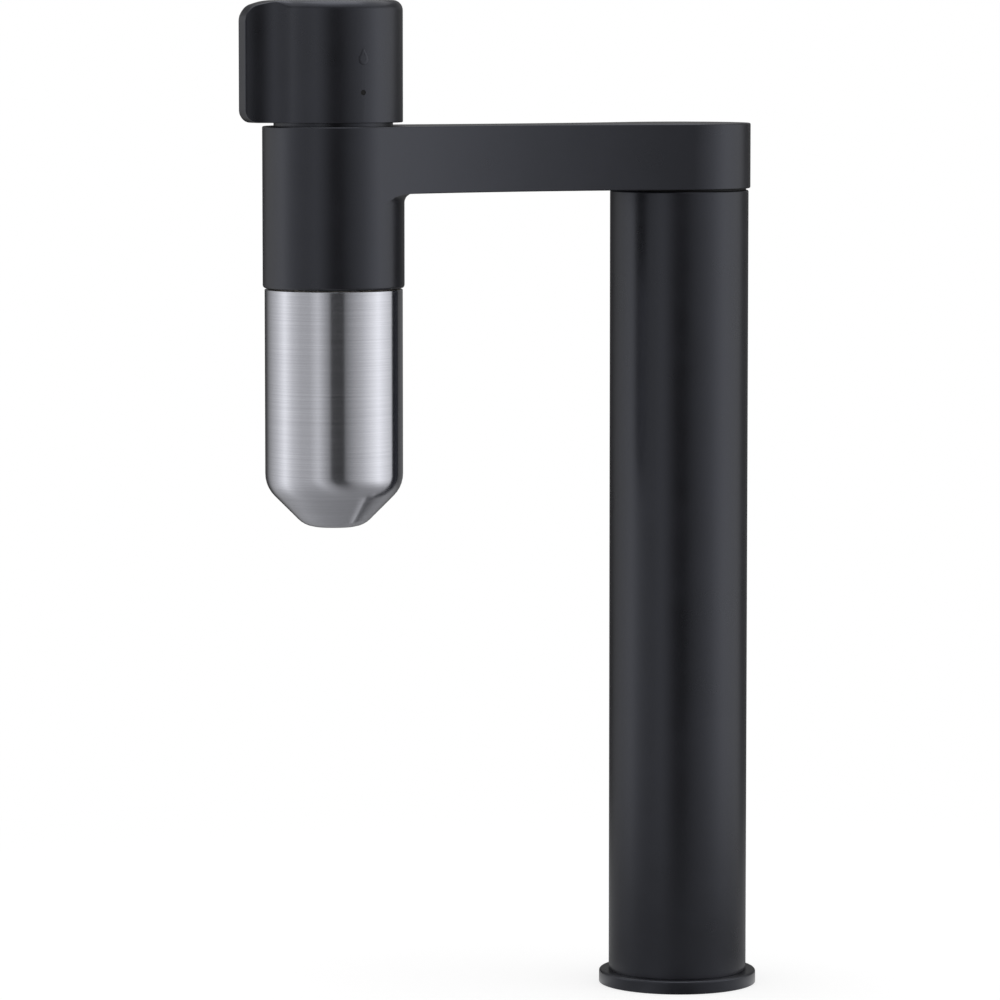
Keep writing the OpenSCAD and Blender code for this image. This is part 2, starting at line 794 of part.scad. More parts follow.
// Filter head: spreads the water round the cartridge and holds its upper spigot
module filter_head() {
    boss_wall = 2.4;
    boss_cover = 1.4;
    boss_r = top_spigot_d / 2 + boss_wall;
    holes = 8;
    hole_d = 3;
    hole_ring_r = (boss_r + filter_cavity_r) / 2;
    color(white_plastic)
        at_capsule()
            difference() {
                union() {
                    translate([0, 0, head_plate_z])
                        cylinder(r = filter_cavity_r - seat_gap, h = head_plate_t);
                    translate([0, 0, head_plate_z])
                        cylinder(r = boss_r, h = socket_depth + boss_cover);
                }
                translate([0, 0, head_plate_z - cut])
                    cylinder(r = top_spigot_d / 2 + run_gap, h = socket_depth + cut);
                for (i = [0 : holes - 1])
                    rotate([0, 0, i * 360 / holes])
                        translate([hole_ring_r, 0, head_plate_z - cut])
                            cylinder(d = hole_d, h = head_plate_t + 2 * cut);
            }
}

// Knob outline from above, with the tab along +X
flank_reach = knob_r + tab_flank_r;
tab_flank_y = tab_w / 2 + tab_flank_r;
tab_flank_x = sqrt(pow(flank_reach, 2) - pow(tab_flank_y, 2));
function tab_flank_centre(side) = [tab_flank_x, side * tab_flank_y];

module tab_outline() {
    intersection() {
        circle(r = tab_reach);
        difference() {
            polygon([[0, 0], tab_flank_centre(1) * knob_r / flank_reach, tab_flank_centre(1),
                tab_flank_centre(-1), tab_flank_centre(-1) * knob_r / flank_reach]);
            for (side = [-1, 1])
                translate(tab_flank_centre(side)) circle(r = tab_flank_r);
        }
    }
}

// Side view of the tab: the upper edge falls to a rounded tip
module tab_section() {
    inner_x = knob_r - knob_edge_r;
    low = [tab_reach, knob_z];
    high = [tab_reach, knob_top_z - tab_drop];
    start = [inner_x, knob_top_z];
    origin = [0, knob_z];
    polygon(concat(
        [origin],
        round_corner(origin, low, high, tab_corner_r),
        round_corner(low, high, start, tab_corner_r),
        [start, [0, knob_top_z]]
    ));
}

// Knob: hollow casting with a thumb tab, a splined hub and a boss for the grub screw
module knob() {
    cavity_r = knob_r - knob_wall;
    boss_w = 8;
    color(black)
        at_capsule() {
            difference() {
                union() {
                    difference() {
                        knob_blank();
                        translate([0, 0, knob_z - cut])
                            cylinder(r = cavity_r, h = knob_ceiling_z - knob_z + cut);
                    }
                    translate([0, 0, hub_low_z])
                        cylinder(r = hub_r, h = knob_ceiling_z + cut - hub_low_z);
                    translate([-boss_w / 2, 0, grub_z - boss_w / 2])
                        cube([boss_w, cavity_r + knob_wall / 2, boss_w]);
                }
                translate([0, 0, hub_low_z - cut])
                    linear_extrude(stem_top_z + stem_end_gap - hub_low_z + cut)
                        spline_outline(spline_r + seat_gap);
                translate([0, 0, grub_z])
                    rotate([-90, 0, 0]) cylinder(r = grub_r + seat_gap, h = knob_r + cut);
                index_pin_space(seat_gap, cut);
            }
            drop_sign();
        }
}

module knob_blank() {
    translate([0, 0, knob_z])
        rotate_extrude() rounded_section(knob_r, knob_h, knob_edge_r);
    intersection() {
        rotate([0, 0, -90])
            translate([0, 0, knob_z]) linear_extrude(knob_h) tab_outline();
        rotate_extrude() tab_section();
    }
}

// Raised drop sign, wrapped on the knob's side
module drop_sign() {
    foot_share = 0.32;
    root_depth = 0.2;
    drop_r = sign_h * foot_share;
    intersection() {
        difference() {
            cylinder(r = knob_r + sign_relief, h = knob_top_z);
            translate([0, 0, -cut]) cylinder(r = knob_r - root_depth, h = knob_top_z + 2 * cut);
        }
        translate([0, 0, sign_z])
            rotate([90, 0, 90]) linear_extrude(knob_r + cut) drop_outline(drop_r);
    }
}

// Drop with a round foot and two straight sides that meet in a point
module drop_outline(drop_r) {
    point_y = sign_h - drop_r;
    side_angle = asin(drop_r / point_y);
    polygon(concat(arc([0, 0], drop_r, 180 - side_angle, 360 + side_angle, 20),
        [[0, point_y]]));
}

// Space of the index pin, widened by a gap and lengthened outwards
module index_pin_space(gap, overshoot) {
    pin_l = 2;
    translate([knob_r - pin_l, 0, index_pin_z])
        rotate([0, 90, 0])
            cylinder(d = index_pin_d + 2 * gap, h = pin_l + overshoot, $fn = 32);
}

module index_pin() {
    setback = 0.1;
    color(rubber)
        at_capsule()
            intersection() {
                index_pin_space(0, cut);
                cylinder(r = knob_r - setback, h = knob_top_z);
            }
}

// Toothed outline of the stem's spline
module spline_outline(outer_r) {
    step = 180 / spline_teeth;
    polygon([for (i = [0 : 2 * spline_teeth - 1])
        let (r = outer_r - (i % 2) * spline_depth)
            [r * cos(i * step), r * sin(i * step)]]);
}

// Valve stem: drives the moving disc and carries the knob on its spline
module valve_stem() {
    key_h = disc_key_slot_h - disc_key_gap;
    key_setback = 2;
    flange_setback = 1;
    color(brass)
        at_capsule()
            difference() {
                union() {
                    translate([0, 0, stem_flange_z])
                        cylinder(r = disc_r - flange_setback, h = stem_flange_h);
                    translate([0, 0, stem_flange_z])
                        cylinder(r = stem_r, h = spline_z - stem_flange_z);
                    translate([0, 0, spline_z - cut])
                        linear_extrude(spline_h + cut) spline_outline(spline_r);
                    translate([-disc_key_w / 2, key_setback - disc_r, stem_flange_z - key_h])
                        cube([disc_key_w, disc_d - 2 * key_setback, key_h + cut]);
                }
                seal_groove(stem_r, stem_seal_cord + groove_gap, stem_seal_cord, stem_seal_z,
                    seal_play);
                shaft_groove(stem_r, clip_groove_depth, clip_t, clip_z);
            }
}

disc_key_w = 4;
disc_key_slot_h = 1.25;
disc_key_gap = 0.05;
stem_seal_cord = 1.2;
stem_seal_z = nut_z + guide_h / 2;

// Moving disc: a slot bridges the two ports after a quarter turn
module moving_ceramic_disc() {
    disc_setback = 0.8;
    slot_depth = 1.8;
    key_space = disc_key_w / 2 + disc_key_gap;
    color(ceramic)
        at_capsule()
            difference() {
                translate([0, 0, moving_disc_z]) cylinder(r = disc_r - disc_setback, h = disc_t);
                translate([-valve_port_offset, -valve_port_d / 2, moving_disc_z - cut])
                    cube([2 * valve_port_offset, valve_port_d, slot_depth + cut]);
                for (side = [-1, 1])
                    translate([side * valve_port_offset, 0, moving_disc_z - cut])
                        cylinder(d = valve_port_d, h = slot_depth + cut);
                translate([-key_space, -disc_r, stem_flange_z - disc_key_slot_h])
                    cube([2 * key_space, disc_d, disc_key_slot_h + cut]);
            }
}

module stem_seal() {
    color(rubber)
        at_capsule()
            cord_ring(stem_r + run_gap - stem_seal_cord / 2, stem_seal_cord - 2 * groove_gap,
                stem_seal_z);
}

// Clip that keeps the stem in its housing
module stem_clip() {
    opening_w = 5;
    lap = 2;
    color(steel)
        at_capsule()
            difference() {
                flat_ring(stem_r + lap, stem_r - clip_groove_depth + seat_gap, clip_t, clip_z);
                translate([-opening_w / 2, 0, clip_z - cut])
                    cube([opening_w, stem_d, clip_t + 2 * cut]);
            }
}

// Grub screw in the knob's back, with a hexagon socket
module knob_grub_screw() {
    hexagon_w = 2;
    hexagon_depth = 2.4;
    color(steel)
        at_capsule()
            translate([0, stem_r + grub_gap, grub_z])
                rotate([-90, 0, 0])
                    difference() {
                        cylinder(r = grub_r, h = grub_l);
                        translate([0, 0, grub_l - hexagon_depth])
                            cylinder(d = hexagon_w / cos(30), h = hexagon_depth + cut, $fn = 6);
                    }
}

// Seal rings of the two spigots: the lower one is the thinner
top_seal_share = 0.6;
top_seal_z = head_plate_z + top_spigot_h * top_seal_share;
outlet_seal_z = spigot_low_z + spigot_engagement / 2;
outlet_seal_step = 0.3;
outlet_seal_cord = spigot_seal_cord - outlet_seal_step;
outlet_seal_depth = outlet_seal_cord - 2 * run_gap;

// Upper end cap: closes the block and locates it in the filter head
module filter_top_cap() {
    color(white_plastic)
        at_capsule()
            difference() {
                union() {
                    translate([0, 0, cap_plate_z]) cylinder(d = cap_d, h = cap_t);
                    translate([0, 0, cap_plate_z])
                        cylinder(d = top_spigot_d, h = cap_t + cap_gap + top_spigot_h);
                }
                seal_groove(top_spigot_d / 2, spigot_seal_cord, spigot_seal_cord, top_seal_z,
                    seal_play);
            }
}

module carbon_block() {
    color(carbon)
        at_capsule() flat_ring(block_d / 2, block_bore_d / 2, block_h, block_z);
}

module fleece_sleeve() {
    color(fleece)
        at_capsule()
            flat_ring(block_d / 2 + seat_gap + sleeve_t, block_d / 2 + seat_gap, block_h, block_z);
}

// Lower end cap: leads the filtered water into the nozzle
module filter_bottom_cap() {
    color(white_plastic)
        at_capsule()
            difference() {
                union() {
                    translate([0, 0, bottom_cap_z]) cylinder(d = cap_d, h = cap_t);
                    translate([0, 0, spigot_low_z])
                        cylinder(r = outlet_spigot_r, h = outlet_spigot_h + cut);
                }
                translate([0, 0, spigot_low_z - cut])
                    cylinder(d = outlet_bore_d, h = outlet_spigot_h + cap_t + 2 * cut);
                seal_groove(outlet_spigot_r, outlet_seal_depth, outlet_seal_cord,
                    outlet_seal_z, sliding_seal_play);
            }
}

// Seal rings of the upper and the lower spigot
module cartridge_seals() {
    color(rubber)
        at_capsule() {
            cord_ring(top_spigot_d / 2 + groove_gap - spigot_seal_cord / 2,
                spigot_seal_cord - groove_gap, top_seal_z);
            cord_ring(nozzle_socket_d / 2 - groove_gap - outlet_seal_cord / 2,
                outlet_seal_cord - 2 * groove_gap, outlet_seal_z);
        }
}

// Seal ring between the capsule's neck and the collar
housing_seal_setback = 3;
housing_seal_z = collar_z + neck_h - housing_seal_setback;

module housing_seal() {
    color(rubber)
        at_capsule()
            cord_ring(neck_r + run_gap - 2 * groove_gap - housing_seal_cord / 2,
                housing_seal_cord - 2 * groove_gap, housing_seal_z);
}

// Half section of the capsule's inside or outside, moved inwards by inset.
// The side, the cone and the bottom are straight, and both corners between them are round.
module capsule_section(inset, top_z) {
    rise = inset / cos(cone_angle);
    side_x = capsule_r - inset;
    cone_z = tip_z + (side_x - tip_r_plan) * tan(cone_angle) + rise;
    bottom_x = tip_r_plan + (inset - rise) / tan(cone_angle);
    top = [side_x, top_z];
    shoulder = [side_x, cone_z];
    foot = [bottom_x, tip_z + inset];
    centre = [0, tip_z + inset];
    polygon(concat(
        [centre, [0, top_z], top],
        round_corner(top, shoulder, foot, shoulder_r - inset),
        round_corner(shoulder, foot, centre, tip_r - inset)
    ));
}

// Steel capsule: spun stainless cup, brushed round its axis
module capsule_shell() {
    shell_top_z = collar_z - seam_gap;
    color(steel)
        at_capsule()
            difference() {
                rotate_extrude() capsule_section(0, shell_top_z);
                rotate_extrude() capsule_section(capsule_wall, shell_top_z + cut);
                translate([0, 0, tip_z - cut])
                    cylinder(r = nozzle_d / 2 + seat_gap, h = capsule_wall + 2 * cut);
            }
}

// Plastic liner: the pressure cup inside the steel, with the threaded neck
module capsule_liner() {
    liner_top_z = collar_z - seam_gap;
    boss_lap = 0.4;
    shoulder_z = liner_top_z - liner_shoulder_h;
    neck_top_z = collar_z + neck_h;
    color(white_plastic)
        at_capsule()
            difference() {
                union() {
                    difference() {
                        rotate_extrude() capsule_section(liner_inset, liner_top_z);
                        rotate_extrude()
                            capsule_section(liner_inset + liner_wall, shoulder_z);
                    }
                    intersection() {
                        rotate_extrude() capsule_section(liner_inset, liner_top_z);
                        translate([0, 0, tip_z])
                            cylinder(r = nozzle_flange_r + boss_lap, h = nozzle_flange_z - tip_z);
                    }
                    translate([0, 0, shoulder_z]) cylinder(r = neck_r, h = neck_top_z - shoulder_z);
                }
                translate([0, 0, shoulder_z - cut])
                    cylinder(r = neck_bore_r, h = neck_top_z - shoulder_z + 2 * cut);
                translate([0, 0, tip_z - cut])
                    cylinder(r = nozzle_d / 2 + seat_gap, h = nozzle_flange_z - tip_z + 2 * cut);
                seal_groove(neck_r, housing_seal_cord, housing_seal_cord, housing_seal_z,
                    sliding_seal_play);
            }
}

// Outlet nozzle: screwed into the liner, with the cartridge's socket above
module outlet_nozzle() {
    chamber_play = 0.2;
    socket_rise = 1;
    socket_z = spigot_low_z - socket_rise;
    chamber_h = straightener_setback + straightener_t + chamber_play;
    color(black)
        at_capsule()
            difference() {
                union() {
                    translate([0, 0, tip_z])
                        cylinder(d = nozzle_d, h = nozzle_top_z - tip_z);
                    translate([0, 0, nozzle_flange_z])
                        cylinder(r = nozzle_flange_r, h = nozzle_flange_h);
                }
                translate([0, 0, tip_z - cut])
                    cylinder(r = straightener_r + seat_gap, h = chamber_h + cut);
                translate([0, 0, tip_z])
                    cylinder(d = outlet_bore_d, h = nozzle_top_z - tip_z);
                translate([0, 0, socket_z])
                    cylinder(d = nozzle_socket_d, h = nozzle_top_z - socket_z + cut);
                flat_ring(nozzle_groove_outer_r, nozzle_groove_inner_r,
                    2 * nozzle_groove_depth, nozzle_flange_z - nozzle_groove_depth);
            }
}

// Seal ring under the nozzle's flange
module nozzle_seal() {
    color(rubber)
        at_capsule()
            cord_ring((nozzle_groove_outer_r + nozzle_groove_inner_r) / 2,
                nozzle_groove_depth - groove_gap, nozzle_flange_z + nozzle_groove_depth / 2);
}

// Flow straightener: disc with a hexagonal field of small holes
module flow_straightener() {
    pitch = 1.7;
    hole_d = 1.2;
    rings = 2;
    color(white_plastic)
        at_capsule()
            difference() {
                translate([0, 0, tip_z + straightener_setback])
                    cylinder(r = straightener_r, h = straightener_t);
                for (i = [-rings : rings], j = [-rings : rings])
                    if (abs(i + j) <= rings)
                        translate([(i + j / 2) * pitch, j * pitch * sin(60), tip_z])
                            cylinder(d = hole_d, h = straightener_t + 2 * cut, $fn = 24);
            }
}

base_flange();
base_seal();
inlet_block();
riser_pipe();
riser_seals();
column_tube();
column_head();
riser_adaptor();
thrust_washer();
arm_body();
swivel_spindle();
upper_swivel_bush();
lower_swivel_bush();
spindle_seals();
retaining_ring();
valve_base_seal();
fixed_ceramic_disc();
valve_housing();
cartridge_nut();
filter_head();
knob();
valve_stem();
moving_ceramic_disc();
stem_seal();
stem_clip();
knob_grub_screw();
index_pin();
filter_top_cap();
carbon_block();
fleece_sleeve();
filter_bottom_cap();
cartridge_seals();
housing_seal();
capsule_shell();
capsule_liner();
outlet_nozzle();
nozzle_seal();
flow_straightener();
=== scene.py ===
"""Drinking water filter tap: the finished looks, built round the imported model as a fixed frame.

The column's axis meets the worktop at the origin, the arm points along -Y and the capsule's axis
is at y = -127 mm. Sizes are written in millimetres, and Blender's own units are metres.
"""
import math

import bmesh
import bpy
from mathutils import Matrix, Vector


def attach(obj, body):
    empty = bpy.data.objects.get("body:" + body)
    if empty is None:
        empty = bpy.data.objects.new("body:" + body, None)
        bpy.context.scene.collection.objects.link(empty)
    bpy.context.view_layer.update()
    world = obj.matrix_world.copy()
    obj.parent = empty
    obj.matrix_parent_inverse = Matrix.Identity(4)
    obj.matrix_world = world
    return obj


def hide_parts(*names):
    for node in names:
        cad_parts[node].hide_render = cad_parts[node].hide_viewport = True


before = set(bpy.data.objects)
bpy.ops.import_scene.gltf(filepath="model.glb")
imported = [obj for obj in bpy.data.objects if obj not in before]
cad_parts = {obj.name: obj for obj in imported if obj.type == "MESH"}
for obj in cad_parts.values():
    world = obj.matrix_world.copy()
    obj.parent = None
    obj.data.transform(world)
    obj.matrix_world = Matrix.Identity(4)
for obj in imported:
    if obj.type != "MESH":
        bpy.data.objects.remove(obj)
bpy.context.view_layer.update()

# --- Foot flange -------------------------------------------------------------------------------
# The turned brass ring that the column stands on. It is clamped against the worktop by the stud
# under it, over a square seal ring, and has the same satin black coat as the column.
MM = 0.001


def srgb(text):
    """A hex colour as the linear values that a socket takes."""
    parts = [int(text[i:i + 2], 16) / 255 for i in (1, 3, 5)]
    linear = [c / 12.92 if c <= 0.04045 else ((c + 0.055) / 1.055) ** 2.4 for c in parts]
    return (*linear, 1.0)


def add(tree, kind, inputs=None, stops=(), **properties):
    """Adds a node with its properties. An input takes a value, or the output that feeds it.

    On a colour ramp, the first stops are set from their places and hex colours.
    """
    node = tree.nodes.new(kind)
    for name, value in properties.items():
        setattr(node, name, value)
    for socket, value in (inputs or {}).items():
        if isinstance(value, bpy.types.NodeSocket):
            tree.links.new(value, node.inputs[socket])
        else:
            node.inputs[socket].default_value = value
    for i, (position, colour) in enumerate(stops):
        stop = node.color_ramp.elements[i]
        stop.position, stop.color = position, srgb(colour)
    return node


def new_material(name):
    """An empty material, its node tree and its Object coordinates."""
    material = bpy.data.materials.new(name)
    material.use_nodes = True
    tree = material.node_tree
    tree.nodes.clear()
    place = add(tree, "ShaderNodeTexCoord").outputs["Object"]
    return material, tree, place


def per_metre(size_mm):
    """How often a pattern of that size comes in a metre."""
    return 1.0 / (size_mm * MM)


# Satin black coat: a blue-black electrophoretic lacquer over bead-blasted brass. It gives a soft,
# cool sheen with broad highlights, and no grain that shows from a step away.
satin_black, tree, place = new_material("satin_black_coat")
cloud = add(tree, "ShaderNodeTexNoise", {"Vector": place, "Scale": per_metre(14), "Detail": 3.0})
peel = add(tree, "ShaderNodeTexNoise", {"Vector": place, "Scale": per_metre(0.7), "Detail": 2.0})
shade = add(tree, "ShaderNodeValToRGB", {"Fac": cloud.outputs["Fac"]},
            stops=((0.35, "#1d1d20"), (0.65, "#212125")))
sheen = add(tree, "ShaderNodeMapRange", {"Value": cloud.outputs["Fac"], "From Min": 0.3,
            "From Max": 0.7, "To Min": 0.27, "To Max": 0.31})
bump = add(tree, "ShaderNodeBump", {"Height": peel.outputs["Fac"], "Strength": 0.05,
           "Distance": 0.02 * MM})
coat = add(tree, "ShaderNodeBsdfPrincipled", {"Base Color": shade.outputs["Color"],
           "Roughness": sheen.outputs["Result"], "Normal": bump.outputs["Normal"],
           "IOR": 1.56, "Specular Tint": srgb("#e9eeff")})
add(tree, "ShaderNodeOutputMaterial", {"Surface": coat.outputs["BSDF"]})


def rounded(corners):
    """A closed outline from corners (x, y, radius), with each radius drawn as an arc."""
    points = []
    count = len(corners)
    for i, (x, y, radius) in enumerate(corners):
        here = Vector((x, y))
        if not radius:
            points.append(tuple(here))
            continue
        back = (Vector(corners[i - 1][:2]) - here).normalized()
        ahead = (Vector(corners[(i + 1) % count][:2]) - here).normalized()
        half = back.angle(ahead) / 2
        centre = here + (back + ahead).normalized() * radius / math.sin(half)
        start = here + back * radius / math.tan(half) - centre
        turn = (math.pi - 2 * half) * math.copysign(1, back.cross(ahead)) * -1
        steps = max(3, math.ceil(math.degrees(abs(turn)) / 10))
        for k in range(steps + 1):
            a = turn * k / steps
            points.append((centre.x + start.x * math.cos(a) - start.y * math.sin(a),
                           centre.y + start.x * math.sin(a) + start.y * math.cos(a)))
    return points


def turned(profile, axis_y=0.0, steps=144):
    """A turned piece: a closed profile of (radius, height), spun round an upright axis."""
    mesh = bmesh.new()
    lines = []
    for i in range(steps):
        a = 2 * math.pi * i / steps
        x, y = math.cos(a) * MM, math.sin(a) * MM
        lines.append([mesh.verts.new((r * x, axis_y * MM + r * y, z * MM)) for r, z in profile])
    for i in range(steps):
        one, two = lines[i], lines[(i + 1) % steps]
        for k in range(len(profile)):
            n = (k + 1) % len(profile)
            if profile[k][0] or profile[n][0]:
                mesh.faces.new((one[k], two[k], two[n], one[n]))
    return mesh


SEAM = 0.0005 * MM


def piece(name, mesh, material, body, sharp=32):
    """Closes a mesh's seams, turns its faces outwards and hands it over as a piece of the part."""
    bmesh.ops.remove_doubles(mesh, verts=mesh.verts, dist=SEAM)
    bmesh.ops.dissolve_degenerate(mesh, edges=mesh.edges, dist=SEAM)
    bmesh.ops.recalc_face_normals(mesh, faces=mesh.faces)
    data = bpy.data.meshes.new(name)
    mesh.to_mesh(data)
    mesh.free()
    data.shade_smooth()
    data.set_sharp_from_angle(angle=math.radians(sharp))
    data.materials.append(material)
    made = bpy.data.objects.new(name, data)
    bpy.context.scene.collection.objects.link(made)
    normals = made.modifiers.new("even_shading", "WEIGHTED_NORMAL")
    normals.keep_sharp = True
    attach(made, body)
    return made


FLANGE_R, FLANGE_BORE, FLANGE_TOP = 26.25, 16.95, 4.4
GROOVE_IN, GROOVE_OUT, GROOVE_TOP = 22.25, 24.65, 1.6
flange = piece("foot_flange", turned(rounded([
    (FLANGE_BORE, 0, 0), (GROOVE_IN, 0, 0), (GROOVE_IN, GROOVE_TOP, 0),
    (GROOVE_OUT, GROOVE_TOP, 0), (GROOVE_OUT, 0, 0), (FLANGE_R, 0, 0.2),
    (FLANGE_R, FLANGE_TOP, 0.8), (FLANGE_BORE, FLANGE_TOP, 0)])), satin_black, "column")
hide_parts("base_flange")

# --- Base seal ---------------------------------------------------------------------------------
# A square ring of moulded nitrile rubber in the flange's groove. It lies flush with the flange's
# underside, and the worktop presses it flat.


def dress(names, material):
    """Gives CAD nodes that stay as they are their finish."""
    for name in names:
        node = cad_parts[name]
        if not node.material_slots:
            node.data.materials.append(material)
        for holder in node.material_slots:
            holder.material = material


# Moulded nitrile rubber: matt black, with the fine bloom that rubber gets, which lightens it in
# patches and takes the gloss away.
black_rubber, tree, place = new_material("moulded_nitrile_rubber")
bloom = add(tree, "ShaderNodeTexNoise", {"Vector": place, "Scale": per_metre(3), "Detail": 4.0})
shade = add(tree, "ShaderNodeValToRGB", {"Fac": bloom.outputs["Fac"]},
            stops=((0.3, "#18181a"), (0.8, "#232326")))
grain = add(tree, "ShaderNodeTexNoise", {"Vector": place, "Scale": per_metre(0.25), "Detail": 2.0})
bump = add(tree, "ShaderNodeBump", {"Height": grain.outputs["Fac"], "Strength": 0.3,
           "Distance": 0.02 * MM})
rubber = add(tree, "ShaderNodeBsdfPrincipled", {"Base Color": shade.outputs["Color"],
             "Roughness": 0.58, "IOR": 1.52, "Normal": bump.outputs["Normal"]})
add(tree, "ShaderNodeOutputMaterial", {"Surface": rubber.outputs["BSDF"]})
dress(["base_seal"], black_rubber)

# --- Column tube -------------------------------------------------------------------------------
# Drawn brass tube, 46 mm across with a 2 mm wall, cut square and coated satin black. It stands on
# the flange, and its upper edge has a small rounding that catches the light under the arm.
TUBE_R, TUBE_BORE, TUBE_TOP = 23.0, 21.0, 265.8
tube = piece("column_tube_shell", turned(rounded([
    (TUBE_BORE, FLANGE_TOP, 0), (TUBE_R, FLANGE_TOP, 0.15), (TUBE_R, TUBE_TOP, 0.6),
    (TUBE_BORE, TUBE_TOP, 0.3)])), satin_black, "column")
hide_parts("column_tube")

# --- Column inner parts ------------------------------------------------------------------------
# The turned inlet block, riser adaptor and column head carry the water and the arm. They keep the
# lathe's fine rings, and a little of the dull, darker tone that uncoated brass takes in water.

# Turned brass: rings from the tool every 0.12 mm. That is too fine to show, so they are drawn
# at 0.6 mm. The rings spread the gloss along the axis.
turned_brass, tree, place = new_material("turned_brass")
apart = add(tree, "ShaderNodeMapping", {"Vector": place, "Scale": (1.0, 1.0, per_metre(0.6))})
rings = add(tree, "ShaderNodeTexNoise", {"Vector": apart.outputs["Vector"], "Scale": 1.0,
            "Detail": 2.0})
dull = add(tree, "ShaderNodeTexNoise", {"Vector": place, "Scale": per_metre(6), "Detail": 4.0})
tone = add(tree, "ShaderNodeMix", {"Factor": dull.outputs["Fac"], "A": srgb("#c9a65f"),
           "B": srgb("#a98546")}, data_type="RGBA")
rough = add(tree, "ShaderNodeMapRange", {"Value": rings.outputs["Fac"], "To Min": 0.2,
            "To Max": 0.4})
bump = add(tree, "ShaderNodeBump", {"Height": rings.outputs["Fac"], "Strength": 0.25,
           "Distance": 0.03 * MM})
metal = add(tree, "ShaderNodeBsdfPrincipled", {"Base Color": tone.outputs["Result"],
            "Metallic": 1.0, "Roughness": rough.outputs["Result"],
            "Normal": bump.outputs["Normal"]})
add(tree, "ShaderNodeOutputMaterial", {"Surface": metal.outputs["BSDF"]})
dress(["inlet_block", "column_head", "riser_adaptor"], turned_brass)

# Drawn stainless steel, for the riser pipe: the die leaves faint lines along it, and a cool grey
# sheen between satin and bright.
drawn_steel, tree, place = new_material("drawn_stainless_steel")
lines = add(tree, "ShaderNodeMapping", {"Vector": place,
            "Scale": (per_metre(0.3), per_metre(0.3), per_metre(20))})
scratch = add(tree, "ShaderNodeTexNoise", {"Vector": lines.outputs["Vector"], "Scale": 1.0,
              "Detail": 3.0})
rough = add(tree, "ShaderNodeMapRange", {"Value": scratch.outputs["Fac"], "To Min": 0.18,
            "To Max": 0.36})
bump = add(tree, "ShaderNodeBump", {"Height": scratch.outputs["Fac"], "Strength": 0.15,
           "Distance": 0.01 * MM})
metal = add(tree, "ShaderNodeBsdfPrincipled", {"Base Color": srgb("#b8b6b4"), "Metallic": 1.0,
            "Roughness": rough.outputs["Result"], "Normal": bump.outputs["Normal"]})
add(tree, "ShaderNodeOutputMaterial", {"Surface": metal.outputs["BSDF"]})
dress(["riser_pipe"], drawn_steel)
dress(["riser_seals"], black_rubber)

# --- Thrust washer -----------------------------------------------------------------------------
# A thin ring of black acetal between the column head and the arm. It carries the arm's weight.
# Its black is painted shade: it gives the dark shadow line in the gap under the arm.

# Black acetal, moulded against a finely spark-eroded tool, which leaves a matt grain of about
# 0.05 mm, drawn at 0.2 mm. It is darker and duller than the coat.
black_acetal, tree, place = new_material("moulded_black_acetal")
grain = add(tree, "ShaderNodeTexNoise", {"Vector": place, "Scale": per_metre(0.2), "Detail": 2.0})
shade = add(tree, "ShaderNodeValToRGB", {"Fac": grain.outputs["Fac"]},
            stops=((0.3, "#0b0b0c"), (0.7, "#101012")))
bump = add(tree, "ShaderNodeBump", {"Height": grain.outputs["Fac"], "Strength": 0.35,
           "Distance": 0.02 * MM})
plastic = add(tree, "ShaderNodeBsdfPrincipled", {"Base Color": shade.outputs["Color"],
              "Roughness": 0.55, "IOR": 1.36, "Normal": bump.outputs["Normal"]})
add(tree, "ShaderNodeOutputMaterial", {"Surface": plastic.outputs["BSDF"]})

WASHER_R, WASHER_BORE, ARM_LOW = 22.2, 11.2, 266.4
# The ring is black to paint the shade in the gap between the column and the arm.
washer = piece("thrust_washer_shade_ring", turned(rounded([
    (WASHER_BORE, TUBE_TOP, 0), (WASHER_R, TUBE_TOP, 0.1), (WASHER_R, ARM_LOW, 0.1),
    (WASHER_BORE, ARM_LOW, 0)])), black_acetal, "column")
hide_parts("thrust_washer")

# --- Arm and collar ----------------------------------------------------------------------------
# One sand-cast brass body, ground, blasted and coated satin black: a flat arm with hollow flanks
# that runs out into the round collar, with a 3 mm fillet under it and 0.5 mm edges.
REACH = 127.0
COLLAR_R, COLLAR_LOW, ARM_TOP = 22.85, 236.0, 288.0


def bow(centre, radius, first, last, steps):
    """Points along an arc, with their outward direction, the ends included."""
    angles = [first + (last - first) * k / steps for k in range(steps + 1)]
    return [(Vector((centre[0] + radius * math.cos(a), centre[1] + radius * math.sin(a))),
             Vector((math.cos(a), math.sin(a)))) for a in angles]


def loop(mesh, points):
    """A row of vertices from points in millimetres."""
    return [mesh.verts.new((x * MM, y * MM, z * MM)) for x, y, z in points]


def skin(mesh, one, two, closed=True):
    """Quads between two rows of vertices."""
    for i in range(len(one) if closed else len(one) - 1):
        n = (i + 1) % len(one)
        mesh.faces.new((one[i], one[n], two[n], two[i]))


def cover(mesh, *rows):
    """Fills a flat face inside the first closed row and outside the others."""
    edges = []
    for row in rows:
        for i, v in enumerate(row):
            n = row[(i + 1) % len(row)]
            edges.append(mesh.edges.get((v, n)) or mesh.edges.new((v, n)))
    bmesh.ops.triangle_fill(mesh, use_beauty=True, use_dissolve=False, edges=edges)


def circle(radius, z, centre_y, steps=96):
    """Points of a level circle."""
    return [(radius * math.cos(2 * math.pi * i / steps),
             centre_y + radius * math.sin(2 * math.pi * i / steps), z) for i in range(steps)]


def pocket(mesh, radii_heights, centre_y):
    """A stepped round pocket with its last row closed. Returns its first row, the mouth."""
    rows = [loop(mesh, circle(r, z, centre_y)) for r, z in radii_heights]
    for one, two in zip(rows, rows[1:]):
        skin(mesh, one, two)
    mesh.faces.new(rows[-1])
    return rows[0]


